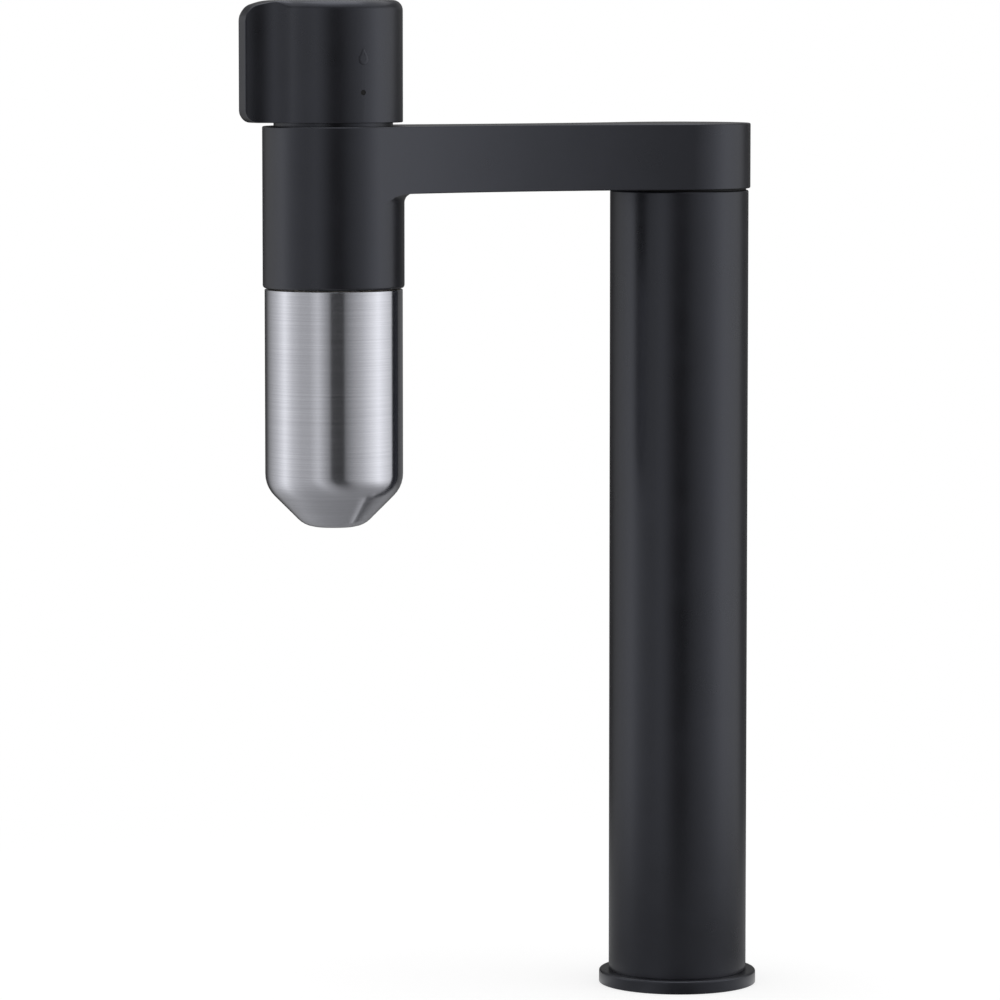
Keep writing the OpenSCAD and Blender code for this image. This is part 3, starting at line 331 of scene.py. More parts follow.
def arm_mesh(end_r=23.6, waist=13.8, fillet=3.0, edge=0.5, lip=1.0, fade=3.0, fillet_steps=6,
             edge_steps=4, flank_steps=28, round_steps=72):
    """The arm and collar as rows of vertices, following the same formula as the frame.

    The flanks are arcs that touch the column's end and the collar. The lower edge's rounding fades
    out over a few millimetres where it meets the fillet.
    """
    end_term = end_r ** 2 - waist ** 2
    width_ratio = (COLLAR_R - waist) / (end_r - waist)
    c = REACH ** 2 - (COLLAR_R ** 2 - waist ** 2) + width_ratio * end_term
    waist_y = 2 * c / (2 * REACH + math.sqrt((2 * REACH) ** 2 - 4 * (1 - width_ratio) * c))
    flank_r = (waist_y ** 2 - end_term) / (2 * (end_r - waist))
    flank_x = waist + flank_r
    end_angle = math.atan2(waist_y, flank_x)
    collar_angle = math.atan2(REACH - waist_y, flank_x)

    # The left flank, from the column's end to the collar. Its last points are where the rows of
    # the fillet come out at the side.
    def flank_point(t):
        return Vector((-flank_x + flank_r * math.cos(t), -waist_y + flank_r * math.sin(t)))

    def angle_at(distance):
        near, far = -collar_angle, 0.0
        for _ in range(50):
            mid = (near + far) / 2
            if (flank_point(mid) - Vector((0, -REACH))).length < distance:
                near = mid
            else:
                far = mid
        return near

    fillet_turns = [math.pi / 2 * k / fillet_steps for k in range(fillet_steps + 1)]
    fillet_rows = [(COLLAR_R + fillet * (1 - math.cos(t)), ARM_LOW - fillet + fillet * math.sin(t))
                   for t in fillet_turns]
    fillet_angles = [angle_at(r) for r, _ in fillet_rows[1:]]
    last = fillet_angles[-1]
    plain = [end_angle + (last - end_angle) * k / flank_steps for k in range(1, flank_steps)]
    left = [(flank_point(t), Vector((-math.cos(t), -math.sin(t))), ARM_LOW) for t in plain]
    left += [(flank_point(t), Vector((-math.cos(t), -math.sin(t))), z)
             for t, (_, z) in reversed(list(zip(fillet_angles, fillet_rows[1:])))]
    right = [(Vector((-p.x, p.y)), Vector((-n.x, n.y)), z) for p, n, z in reversed(left)]
    end = [(p, n, ARM_LOW) for p, n in
           bow((0, 0), end_r, -end_angle, math.pi + end_angle, round_steps)]
    collar_bow = bow((0, -REACH), COLLAR_R, math.pi - collar_angle, 2 * math.pi + collar_angle,
                     round_steps)
    round_collar = [(p, n, ARM_LOW - fillet) for p, n in collar_bow]
    outline = end + left + round_collar + right

    mesh = bmesh.new()
    rows = []
    for k in range(edge_steps, -1, -1):
        a = math.pi / 2 * k / edge_steps
        z = ARM_TOP - edge + edge * math.sin(a)
        rows.append(loop(mesh, [(*(p - n * edge * (1 - math.cos(a))), z) for p, n, _ in outline]))
    for k in range(edge_steps + 1):
        a = math.pi / 2 * k / edge_steps
        points = []
        for p, n, z in outline:
            away = (p - Vector((0, -REACH))).length - COLLAR_R - fillet
            e = edge * min(1.0, max(0.0, away / fade)) if z == ARM_LOW else 0.0
            points.append((*(p - n * e * (1 - math.cos(a))), z + e * (1 - math.sin(a))))
        rows.append(loop(mesh, points))
    for one, two in zip(rows, rows[1:]):
        skin(mesh, one, two)

    # The fillet's rows run round the collar, on the side of the column.
    def inner_row(radius, z, start, steps=24):
        side = start - Vector((0, -REACH))
        first = math.atan2(side.y, side.x)
        return [(radius * math.cos(a), -REACH + radius * math.sin(a), z)
                for a in [first + (math.pi - 2 * first) * k / steps for k in range(steps + 1)]]

    starts = [(round_collar[-1][0], *fillet_rows[0])]
    starts += [(Vector((-flank_point(t).x, flank_point(t).y)), r, z)
               for t, (r, z) in zip(fillet_angles, fillet_rows[1:])]
    inner = [loop(mesh, inner_row(r, z, p)) for p, r, z in starts]
    for one, two in zip(inner, inner[1:]):
        skin(mesh, one, two, closed=False)

    # The flat underside, with the pocket for the spindle.
    first_round = len(end) + len(left)
    after_round = first_round + len(round_collar)
    under = rows[-1]
    rim = under[after_round + fillet_steps - 1:] + under[:first_round - fillet_steps + 1]
    spindle_pocket = [(13.05, ARM_LOW), (13.05, ARM_LOW + 6.5)]
    cover(mesh, rim + list(reversed(inner[-1][1:-1])), pocket(mesh, spindle_pocket, 0.0))

    # The collar below the arm, down to its rounded lower edge, and the bore for the capsule neck.
    joint = under[first_round:after_round] + inner[0][1:-1]
    angles = [math.atan2(v.co.y / MM + REACH, v.co.x / MM) for v in joint]
    lower = []
    for k in range(edge_steps + 1):
        a = math.pi / 2 * k / edge_steps
        r, z = COLLAR_R - lip * (1 - math.cos(a)), COLLAR_LOW + lip * (1 - math.sin(a))
        lower.append(loop(mesh, [(r * math.cos(t), -REACH + r * math.sin(t), z) for t in angles]))
    for one, two in zip([joint] + lower, lower):
        skin(mesh, one, two)
    neck_bore = [(19.95, COLLAR_LOW), (19.65, COLLAR_LOW + 0.3), (19.65, 246.0), (17.0, 246.0),
                 (17.0, 258.0)]
    cover(mesh, lower[-1], pocket(mesh, neck_bore, -REACH))

    # The top, with the pocket for the valve and its nut.
    valve_pocket = [(17.05, ARM_TOP), (17.05, 281.0), (15.0, 281.0), (15.0, 268.0)]
    cover(mesh, rows[0], pocket(mesh, valve_pocket, -REACH))
    return mesh


arm = piece("arm_and_collar", arm_mesh(), satin_black, "arm")
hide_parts("arm_body")

# --- Swivel ------------------------------------------------------------------------------------
# The turned spindle is screwed and glued into the arm and turns in the column head on two acetal
# bushes. Two seal rings keep the water in, and a spring ring keeps the spindle down.
dress(["swivel_spindle"], turned_brass)
dress(["spindle_seals"], black_rubber)

# Acetal: an injection-moulded, natural white plastic. It is a little waxy and see-through at its
# edges, with a smooth gloss and faint flow marks.
white_acetal, tree, place = new_material("moulded_acetal")
flow = add(tree, "ShaderNodeTexNoise", {"Vector": place, "Scale": per_metre(8), "Detail": 3.0,
           "Distortion": 1.2})
shade = add(tree, "ShaderNodeValToRGB", {"Fac": flow.outputs["Fac"]},
            stops=((0.3, "#dcd9d0"), (0.7, "#e4e1d9")))
gloss = add(tree, "ShaderNodeMapRange", {"Value": flow.outputs["Fac"], "To Min": 0.30,
            "To Max": 0.42})
bump = add(tree, "ShaderNodeBump", {"Height": flow.outputs["Fac"], "Strength": 0.1,
           "Distance": 0.05 * MM})
plastic = add(tree, "ShaderNodeBsdfPrincipled", {"Base Color": shade.outputs["Color"],
              "Roughness": gloss.outputs["Result"], "IOR": 1.48, "Subsurface Weight": 0.12,
              "Subsurface Radius": (1.0, 0.9, 0.8), "Subsurface Scale": 0.8 * MM,
              "Normal": bump.outputs["Normal"]})
add(tree, "ShaderNodeOutputMaterial", {"Surface": plastic.outputs["BSDF"]})
dress(["upper_swivel_bush", "lower_swivel_bush"], white_acetal)

# Spring steel, rolled and tempered: a darker, warmer grey than the pipe, smooth, with a faint
# haze.
spring_steel, tree, place = new_material("tempered_spring_steel")
haze = add(tree, "ShaderNodeTexNoise", {"Vector": place, "Scale": per_metre(2), "Detail": 4.0})
shade = add(tree, "ShaderNodeValToRGB", {"Fac": haze.outputs["Fac"]},
            stops=((0.3, "#96928e"), (0.7, "#aaa6a1")))
gloss = add(tree, "ShaderNodeMapRange", {"Value": haze.outputs["Fac"], "To Min": 0.22,
            "To Max": 0.38})
metal = add(tree, "ShaderNodeBsdfPrincipled", {"Base Color": shade.outputs["Color"],
            "Metallic": 1.0, "Roughness": gloss.outputs["Result"]})
add(tree, "ShaderNodeOutputMaterial", {"Surface": metal.outputs["BSDF"]})
dress(["retaining_ring"], spring_steel)

# --- Valve -------------------------------------------------------------------------------------
# A quarter-turn headwork: two lapped ceramic discs in a turned brass housing, pressed onto a
# rubber seal by the nut. The stem turns the upper disc, sealed by a ring and held by a clip.

# Alumina ceramic, sintered and lapped: ivory white, hard and even, with a mirror-like gloss on its
# faces and a faint speckle.
alumina, tree, place = new_material("lapped_alumina")
speck = add(tree, "ShaderNodeTexNoise", {"Vector": place, "Scale": per_metre(0.4), "Detail": 3.0})
shade = add(tree, "ShaderNodeValToRGB", {"Fac": speck.outputs["Fac"]},
            stops=((0.35, "#e6dfd0"), (0.65, "#ece6d9")))
gloss = add(tree, "ShaderNodeMapRange", {"Value": speck.outputs["Fac"], "To Min": 0.10,
            "To Max": 0.20})
ceramic = add(tree, "ShaderNodeBsdfPrincipled", {"Base Color": shade.outputs["Color"],
              "Roughness": gloss.outputs["Result"], "IOR": 1.76})
add(tree, "ShaderNodeOutputMaterial", {"Surface": ceramic.outputs["BSDF"]})
dress(["fixed_ceramic_disc", "moving_ceramic_disc"], alumina)
dress(["valve_housing", "valve_stem"], turned_brass)
dress(["valve_base_seal", "stem_seal"], black_rubber)
dress(["stem_clip"], spring_steel)

# --- Cartridge nut -----------------------------------------------------------------------------
# The turned nut that holds the valve down in the collar. Its flange is the narrower black ring
# seen in the gap under the knob, and has the same coat as the arm.
dress(["cartridge_nut"], satin_black)

# --- Knob --------------------------------------------------------------------------------------
# Die-cast knob with a thumb tab towards the outlet. Hollow curves run from the round body into the
# tab, whose crest falls towards a round tip. It sits on the stem's spline, held by a grub screw.
KNOB_R, KNOB_LOW, KNOB_TOP = 22.4, 289.2, 328.3


def knob_mesh(reach=32.2, width=5.2, flank_r=16.7, rim=3.3, tab_rim=0.45, foot_rim=0.35,
              corner=0.5, across=8, along=34, behind=56):
    """The knob as rows of vertices. The tab points along its own x before it is turned to -Y."""
    crest_r, crest_from, crest_tip, keel_tip = 44.0, 16.6, 4.0, 4.2
    rim_blend, cavity_r, cavity_land, ceiling = 0.45, 19.9, 0.6, 324.7
    hub_r, hub_low, spline_end, spline_r, tooth, teeth = 8.0, 296.1, 309.9, 4.85, 0.6, 20
    fy = width / 2 + flank_r
    fx = math.sqrt((KNOB_R + flank_r) ** 2 - fy ** 2)
    # Centre of the small upright rounding between a flank and the tip, from its two distances.
    to_tip, to_flank, apart = reach - corner, flank_r + corner, math.hypot(fx, fy)
    along_line = (to_tip ** 2 - to_flank ** 2 + apart ** 2) / (2 * apart)
    off_line = math.sqrt(to_tip ** 2 - along_line ** 2)
    flank_c = Vector((fx, fy))
    unit = flank_c.normalized()
    small_c = unit * along_line + Vector((unit.y, -unit.x)) * off_line

    def edge_round(d, e):
        return e - math.sqrt(max(0.0, e * e - (e - d) ** 2)) if d < e else 0.0

    def tip_round(r, radius):
        start = reach - radius
        return radius - math.sqrt(max(0.0, radius ** 2 - (r - start) ** 2)) if r > start else 0.0

    def crest(x, y, d, e):
        fall = crest_r - math.sqrt(crest_r ** 2 - max(0.0, x - crest_from) ** 2)
        return KNOB_TOP - fall - tip_round(math.hypot(x, y), crest_tip) - edge_round(d, e)

    def keel(x, y, d):
        return KNOB_LOW + tip_round(math.hypot(x, y), keel_tip) + edge_round(d, foot_rim)

    # Half of the outline, from the middle of the back to the middle of the tip. The upper rim gets
    # finer along the first part of each flank.
    body_angle = math.atan2(fy, fx)
    back = bow((0, 0), KNOB_R, math.pi, body_angle, behind)
    first = math.atan2(-fy, -fx) + 2 * math.pi
    to_small = small_c - flank_c
    second = math.atan2(to_small.y, to_small.x) + 2 * math.pi
    flank = [(p, -n) for p, n in bow(flank_c, flank_r, first, second, along)][1:]
    third = math.atan2(-to_small.y, -to_small.x)
    small = bow(small_c, corner, third, math.atan2(small_c.y, small_c.x), across // 2 - 1)[1:]
    tip = [(Vector((reach, 0.0)), Vector((1.0, 0.0)))]
    half = [(p, n, rim) for p, n in back]
    for i, (p, n) in enumerate(flank):
        share = min(1.0, (i + 1) / (along * rim_blend))
        share = share * share * (3 - 2 * share)
        half.append((p, n, rim + (tab_rim - rim) * share))
    half += [(p, n, tab_rim) for p, n in small + tip]
    other = [(Vector((p.x, -p.y)), Vector((n.x, -n.y)), e) for p, n, e in half[-2:0:-1]]
    outline = half + other
    total = len(outline)

    def out(points):
        return loop(mesh, [(y, -REACH - x, z) for x, y, z in points])

    mesh = bmesh.new()
    shares = [0, 0.02, 0.07, 0.15, 0.27, 0.42, 0.6, 0.8, 1.0]
    rows = []
    for s in reversed(shares):
        points = []
        for p, n, e in outline:
            q = p - n * e * s
            points.append((q.x, q.y, crest(q.x, q.y, e * s, e)))
        rows.append(out(points))
    for s in (0, 0.1, 0.35, 1.0):
        points = []
        for p, n, _ in outline:
            q = p - n * foot_rim * s
            points.append((q.x, q.y, keel(q.x, q.y, foot_rim * s)))
        rows.append(out(points))
    for one, two in zip(rows, rows[1:]):
        skin(mesh, one, two)

    # Rungs across the tab close its crest and its keel. There, far_in stands for a place that no
    # edge rounding reaches.
    start = len(back) - 1
    stop = start + len(flank)
    far_in = 9.0

    def rungs(row, first_rung, height):
        made = []
        for i in range(first_rung, stop):
            one, two = row[i], row[(total - i) % total]
            points = []
            for k in range(1, across):
                q = one.co.lerp(two.co, k / across)
                x, y = -q.y / MM - REACH, q.x / MM
                points.append((x, y, height(x, y)))
            made.append([one] + out(points) + [two])
        for one, two in zip(made, made[1:]):
            skin(mesh, one, two, closed=False)
        final = [row[i % total] for i in range(stop, total - stop + 1)]
        skin(mesh, made[-1], final, closed=False)
        return made[0]

    top, bottom = rows[0], rows[-1]
    first_top = rungs(top, start, lambda x, y: crest(x, y, far_in, 1.0))
    mesh.faces.new([top[(total - start + i) % total] for i in range(2 * start + 1)]
                   + first_top[1:-1])
    clear = next(i for i in range(start, stop) if outline[i][0].x > cavity_r + cavity_land)
    first_low = rungs(bottom, clear, lambda x, y: keel(x, y, far_in))
    ring = [bottom[(total - clear + i) % total] for i in range(2 * clear + 1)] + first_low[1:-1]

    # The hollow with its splined hub.
    mouth = loop(mesh, circle(cavity_r, KNOB_LOW, -REACH))
    roof = loop(mesh, circle(cavity_r, ceiling, -REACH))
    hub = [loop(mesh, circle(hub_r, z, -REACH)) for z in (ceiling, hub_low)]
    skin(mesh, mouth, roof)
    skin(mesh, *hub)
    cover(mesh, ring, mouth)
    cover(mesh, roof, hub[0])
    spline = [[((spline_r - i % 2 * tooth) * math.cos(math.pi * i / teeth),
                (spline_r - i % 2 * tooth) * math.sin(math.pi * i / teeth) - REACH, z)
               for i in range(2 * teeth)] for z in (hub_low, spline_end)]
    bore = [loop(mesh, row) for row in spline]
    skin(mesh, *bore)
    cover(mesh, hub[1], bore[0])
    mesh.faces.new(bore[1])
    return mesh


def drilled(mesh, holes):
    """A mesh with round holes cut into it, each given as radius, start, direction and length."""
    bmesh.ops.remove_doubles(mesh, verts=mesh.verts, dist=SEAM)
    bmesh.ops.recalc_face_normals(mesh, faces=mesh.faces)
    tools = bmesh.new()
    for radius, start, direction, length in holes:
        way = Vector(direction).normalized()
        made = bmesh.ops.create_cone(tools, cap_ends=True, segments=40, radius1=radius * MM,
                                     radius2=radius * MM, depth=length * MM)["verts"]
        bmesh.ops.rotate(tools, verts=made, matrix=way.to_track_quat("Z", "Y").to_matrix())
        bmesh.ops.translate(tools, verts=made, vec=(Vector(start) + way * length / 2) * MM)
    pair = []
    for source in (mesh, tools):
        data = bpy.data.meshes.new("blank")
        source.to_mesh(data)
        source.free()
        pair.append(bpy.data.objects.new("blank", data))
        bpy.context.scene.collection.objects.link(pair[-1])
    cut = pair[0].modifiers.new("cut", "BOOLEAN")
    cut.operation, cut.solver, cut.object = "DIFFERENCE", "EXACT", pair[1]
    result = bmesh.new()
    result.from_object(pair[0], bpy.context.evaluated_depsgraph_get())
    for blank in pair:
        data = blank.data
        bpy.data.objects.remove(blank)
        bpy.data.meshes.remove(data)
    return result


GRUB_R, GRUB_Z = 2.05, 302.0


def grub_boss(mesh, near=7.6, far=20.2, half=4.0, steps=32):
    """The block between the hub and the knob's back that the grub screw runs through."""
    frames, holes = [], []
    for y in (near - REACH, far - REACH):
        frames.append(loop(mesh, [(x, y, GRUB_Z + z) for x, z in
                                  ((-half, -half), (half, -half), (half, half), (-half, half))]))
        turns = [2 * math.pi * k / steps for k in range(steps)]
        holes.append(loop(mesh, [(GRUB_R * math.cos(a), y, GRUB_Z + GRUB_R * math.sin(a))
                                 for a in turns]))
    skin(mesh, *frames)
    skin(mesh, *holes)
    cover(mesh, frames[0], holes[0])
    cover(mesh, frames[1], holes[1])


def drop_sign(mesh, low=309.5, foot=1.79, point=3.81, relief=0.25, round_steps=28, side_steps=6):
    """A water drop, cast 0.25 mm proud on the side of the knob."""
    touch = math.asin(foot / point)
    turns = [touch - k * (math.pi + 2 * touch) / round_steps for k in range(round_steps + 1)]
    line = [(foot * math.cos(a), foot * math.sin(a)) for a in turns]
    (first_u, first_v), (last_u, last_v) = line[0], line[-1]
    line += [(last_u * (1 - k / side_steps), last_v + (point - last_v) * k / side_steps)
             for k in range(1, side_steps + 1)]
    line += [(first_u * k / side_steps, point + (first_v - point) * k / side_steps)
             for k in range(1, side_steps)]

    # From its foot inside the knob's wall to its flat top, with a soft edge.
    rows = []
    for r, shrink in ((KNOB_R - 0.4, 1.0), (KNOB_R, 1.0), (KNOB_R + relief * 0.7, 0.93),
                      (KNOB_R + relief, 0.82), (KNOB_R + relief, 0.5)):
        rows.append(loop(mesh, [(math.sqrt(r * r - (u * shrink) ** 2), u * shrink - REACH,
                                 low + v * shrink) for u, v in line]))
    for one, two in zip(rows, rows[1:]):
        skin(mesh, one, two)
    mesh.faces.new(rows[0])
    bmesh.ops.triangulate(mesh, faces=[mesh.faces.new(rows[-1])])


PIN_R, PIN_Z = 0.85, 298.9
knob_blank = drilled(knob_mesh(), [
    (GRUB_R, (0, 18.5 - REACH, GRUB_Z), (0, 1, 0), 6.0),
    (PIN_R, (20.4, -REACH, PIN_Z), (1, 0, 0), 4.0)])
grub_boss(knob_blank)
drop_sign(knob_blank)
knob = piece("knob_with_tab", knob_blank, satin_black, "handle")
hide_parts("knob")

# The grub screw in the knob's back clamps the stem, and is of the same tempered steel as the clip.
dress(["knob_grub_screw"], spring_steel)

# --- Index pin ---------------------------------------------------------------------------------
# A small pin of the same black acetal as the washer, pressed into the knob under the drop. It
# marks the closed position.
dress(["index_pin"], black_acetal)

# --- Filter head and cartridge -----------------------------------------------------------------
# The moulded head in the collar, and the cartridge pushed up into it: a block of pressed carbon
# in a fleece sleeve, between two caps with seal rings.
dress(["filter_head", "filter_top_cap", "filter_bottom_cap"], white_acetal)
dress(["cartridge_seals"], black_rubber)

# Pressed activated carbon: black granules of about 0.4 mm, sintered with a little binder. It is
# dead matt and pitted. Each grain is greyer in its middle and darker towards its edges, where the
# bump sinks: painted shade in the pits between the grains.
pressed_carbon, tree, place = new_material("pressed_activated_carbon")
cells = add(tree, "ShaderNodeTexVoronoi", {"Vector": place, "Scale": per_metre(0.4)})
# Darker where the bump sinks between the grains: painted shade in the pits.
shade = add(tree, "ShaderNodeValToRGB", {"Fac": cells.outputs["Distance"]},
            stops=((0.1, "#2b2b2c"), (0.7, "#121213")))
bump = add(tree, "ShaderNodeBump", {"Height": cells.outputs["Distance"], "Strength": 0.6,
           "Distance": 0.2 * MM}, invert=True)
carbon = add(tree, "ShaderNodeBsdfPrincipled", {"Base Color": shade.outputs["Color"],
             "Roughness": 0.88, "Normal": bump.outputs["Normal"]})
add(tree, "ShaderNodeOutputMaterial", {"Surface": carbon.outputs["BSDF"]})
dress(["carbon_block"], pressed_carbon)


def bearing(tree, place):
    """The direction of a place round the Z axis, in radians, and its height."""
    axes = add(tree, "ShaderNodeSeparateXYZ", {"Vector": place})
    angle = add(tree, "ShaderNodeMath", {0: axes.outputs["Y"], 1: axes.outputs["X"]},
                operation="ARCTAN2")
    return angle.outputs["Value"], axes.outputs["Z"]


# Spun polypropylene fleece, heat-set with a diamond grid of 1.6 mm: cool white, soft and fibrous,
# with small dimples where the fibres are welded.
spun_fleece, tree, place = new_material("spun_fleece")
centred = add(tree, "ShaderNodeVectorMath", {0: place, 1: (0.0, REACH * MM, 0.0)}, operation="ADD")
angle, height = bearing(tree, centred.outputs["Vector"])
around = add(tree, "ShaderNodeMath", {0: angle, 1: 60.0}, operation="MULTIPLY")
upward = add(tree, "ShaderNodeMath", {0: height, 1: 2 * math.pi * per_metre(1.6)},
             operation="MULTIPLY")
waves = []
for sign in ("ADD", "SUBTRACT"):
    total = add(tree, "ShaderNodeMath", {0: around.outputs["Value"], 1: upward.outputs["Value"]},
                operation=sign)
    waves.append(add(tree, "ShaderNodeMath", {0: total.outputs["Value"]}, operation="COSINE"))
welds = add(tree, "ShaderNodeMath", {0: waves[0].outputs["Value"], 1: waves[1].outputs["Value"]},
            operation="ADD")
dimple = add(tree, "ShaderNodeMapRange", {"Value": welds.outputs["Value"], "From Min": 0.9,
             "From Max": 2.0, "To Min": 1.0, "To Max": 0.0})
fibres = add(tree, "ShaderNodeTexNoise", {"Vector": place, "Scale": per_metre(0.35),
             "Detail": 5.0, "Distortion": 2.0})
relief = add(tree, "ShaderNodeMath", {0: dimple.outputs["Result"], 1: fibres.outputs["Fac"]},
             operation="ADD")
shade = add(tree, "ShaderNodeValToRGB", {"Fac": fibres.outputs["Fac"]},
            stops=((0.3, "#ccd4d9"), (0.65, "#dde3e6")))
bump = add(tree, "ShaderNodeBump", {"Height": relief.outputs["Value"], "Strength": 0.7,
           "Distance": 0.15 * MM})
cloth = add(tree, "ShaderNodeBsdfPrincipled", {"Base Color": shade.outputs["Color"],
            "Roughness": 0.9, "Sheen Weight": 0.25, "Normal": bump.outputs["Normal"]})
add(tree, "ShaderNodeOutputMaterial", {"Surface": cloth.outputs["BSDF"]})
dress(["fleece_sleeve"], spun_fleece)
dress(["housing_seal"], black_rubber)

# --- Capsule shell -----------------------------------------------------------------------------
# A cup spun from 0.8 mm stainless steel and brushed on the lathe, glued over the plastic liner.
# Its side, its 45 degree cone and its bottom run into each other in wide curves.
CAPSULE_R, TIP_Z, SHELL_TOP, SHELL_WALL = 22.25, 159.0, 235.6, 0.8
BOTTOM_R, SIDE_CURVE, BOTTOM_CURVE, TIP_HOLE_R = 9.3, 10.0, 8.0, 6.55


def cup(inset):
    """Side, cone and bottom of the capsule as corners with their radii, moved inwards."""
    rise = inset / math.cos(math.radians(45))
    side = CAPSULE_R - inset
    return [(side, SHELL_TOP), (side, TIP_Z + (side - BOTTOM_R) + rise, SIDE_CURVE - inset),
            (BOTTOM_R + (inset - rise), TIP_Z + inset, BOTTOM_CURVE - inset)]


# Brushed stainless steel: the abrasive leaves fine rings round the axis, 0.05 mm apart, drawn
# here at 0.25 mm and 1.5 mm. They smear each highlight along the axis, and keep it narrow around
# it.
brushed_steel, tree, place = new_material("brushed_stainless_steel")
rings = []
for around, apart_mm, detail in ((25.0, 0.25, 3.0), (8.0, 1.5, 2.0)):
    apart = add(tree, "ShaderNodeMapping", {"Vector": place,
                "Scale": (around, around, per_metre(apart_mm))})
    ring = add(tree, "ShaderNodeTexNoise", {"Vector": apart.outputs["Vector"], "Scale": 1.0,
               "Detail": detail})
    rings.append(ring.outputs["Fac"])
both = add(tree, "ShaderNodeMath", {0: rings[0], 1: rings[1]}, operation="ADD")
rough = add(tree, "ShaderNodeMapRange", {"Value": both.outputs["Value"], "From Min": 0.7,
            "From Max": 1.3, "To Min": 0.18, "To Max": 0.22})
shade = add(tree, "ShaderNodeValToRGB", {"Fac": rings[0]},
            stops=((0.3, "#bebfc6"), (0.7, "#c9cad1")))
bump = add(tree, "ShaderNodeBump", {"Height": rings[0], "Strength": 0.11,
           "Distance": 0.01 * MM})
lay = add(tree, "ShaderNodeTangent", direction_type="UV_MAP", uv_map="around")
metal = add(tree, "ShaderNodeBsdfPrincipled", {"Base Color": shade.outputs["Color"],
            "Metallic": 1.0, "Roughness": rough.outputs["Result"], "Anisotropic": 0.90,
            "Normal": bump.outputs["Normal"], "Tangent": lay.outputs["Tangent"]})
add(tree, "ShaderNodeOutputMaterial", {"Surface": metal.outputs["BSDF"]})

outer, inner = cup(0.0), cup(SHELL_WALL)
shell_profile = rounded([
    (*outer[0], 0.2), *outer[1:], (TIP_HOLE_R, TIP_Z, 0.25), (TIP_HOLE_R, TIP_Z + SHELL_WALL, 0),
    *reversed(inner[1:]), (*inner[0], 0.1)])
shell_mesh = turned(shell_profile, -REACH, 192)

# The brushing follows this UV layer: u runs along the profile, and v once round the axis.
wrap = shell_mesh.loops.layers.uv.new("around")
for face in shell_mesh.faces:
    places = [(c.vert.co.x, c.vert.co.y + REACH * MM) for c in face.loops]
    turns = [math.atan2(y, x) / (2 * math.pi) for x, y in places]
    across_seam = max(turns) - min(turns) > 0.5
    for corner, (x, y), turn in zip(face.loops, places, turns):
        turn += 1 if across_seam and turn < 0 else 0
        corner[wrap].uv = (corner.vert.co.z - math.hypot(y, x), turn)
shell = piece("capsule_steel_cup", shell_mesh, brushed_steel, "capsule")
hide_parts("capsule_shell")

# --- Capsule liner -----------------------------------------------------------------------------
# The moulded pressure cup inside the steel. Its neck carries the rounded thread, 2.6 turns with
# 2 mm of lead, that screws into the collar, and a groove for the seal ring.
liner_profile = rounded([
    (21.35, 176.3, 6.0), (21.35, SHELL_TOP, 0), (19.05, SHELL_TOP, 0), (19.05, 241.4, 0.2),
    (19.6, 241.4, 0.1), (19.6, 241.55, 0), (18.1, 241.55, 0.1), (18.1, 243.45, 0.1),
    (19.6, 243.45, 0.1), (19.6, 245.5, 0.4), (16.9, 245.5, 0.4), (16.9, 235.2, 0),
    (19.35, 231.6, 0.5), (19.35, 177.2, 6.0), (10.6, 168.6, 4.0), (4.0, 168.2, 0),
    (4.0, 162.7, 0), (8.7, 162.7, 0), (8.7, 163.6, 0)])
thread_tree = bpy.data.node_groups.new("rounded_thread", "GeometryNodeTree")
for name, kind, value in (("Radius", "NodeSocketFloat", 19.08), ("Lead", "NodeSocketFloat", 2.0),
                          ("Turns", "NodeSocketFloat", 2.6), ("Bead", "NodeSocketFloat", 0.5),
                          ("Start", "NodeSocketFloat", 236.0), ("Reach", "NodeSocketFloat", REACH),
                          ("Finish", "NodeSocketMaterial", None)):
    socket = thread_tree.interface.new_socket(name, in_out="INPUT", socket_type=kind)
    if value is not None:
        socket.default_value = value
thread_tree.interface.new_socket("Mesh", in_out="OUTPUT", socket_type="NodeSocketGeometry")
given = add(thread_tree, "NodeGroupInput").outputs
in_metres = {}
for name in ("Radius", "Lead", "Bead", "Start", "Reach"):
    scaled = add(thread_tree, "ShaderNodeMath", {0: given[name], 1: MM}, operation="MULTIPLY")
    in_metres[name] = scaled.outputs["Value"]
rise = add(thread_tree, "ShaderNodeMath", {0: in_metres["Lead"], 1: given["Turns"]},
           operation="MULTIPLY")
helix = add(thread_tree, "GeometryNodeCurveSpiral", {"Resolution": 72, "Rotations": given["Turns"],
            "Start Radius": in_metres["Radius"], "End Radius": in_metres["Radius"],
            "Height": rise.outputs["Value"], "Reverse": True})
bead = add(thread_tree, "GeometryNodeCurvePrimitiveCircle", {"Resolution": 10,
           "Radius": in_metres["Bead"]})
sweep = add(thread_tree, "GeometryNodeCurveToMesh", {"Curve": helix.outputs["Curve"],
            "Profile Curve": bead.outputs["Curve"], "Fill Caps": True})
down = add(thread_tree, "ShaderNodeMath", {0: 0.0, 1: in_metres["Reach"]}, operation="SUBTRACT")
spot = add(thread_tree, "ShaderNodeCombineXYZ", {"Y": down.outputs["Value"],
           "Z": in_metres["Start"]})
placed = add(thread_tree, "GeometryNodeTransform", {"Geometry": sweep.outputs["Mesh"],
             "Translation": spot.outputs["Vector"]})
real = add(thread_tree, "GeometryNodeRealizeInstances", {"Geometry": placed.outputs["Geometry"]})
finished = add(thread_tree, "GeometryNodeSetMaterial", {"Geometry": real.outputs["Geometry"],
               "Material": given["Finish"]})
add(thread_tree, "NodeGroupOutput", {"Mesh": finished.outputs["Geometry"]})

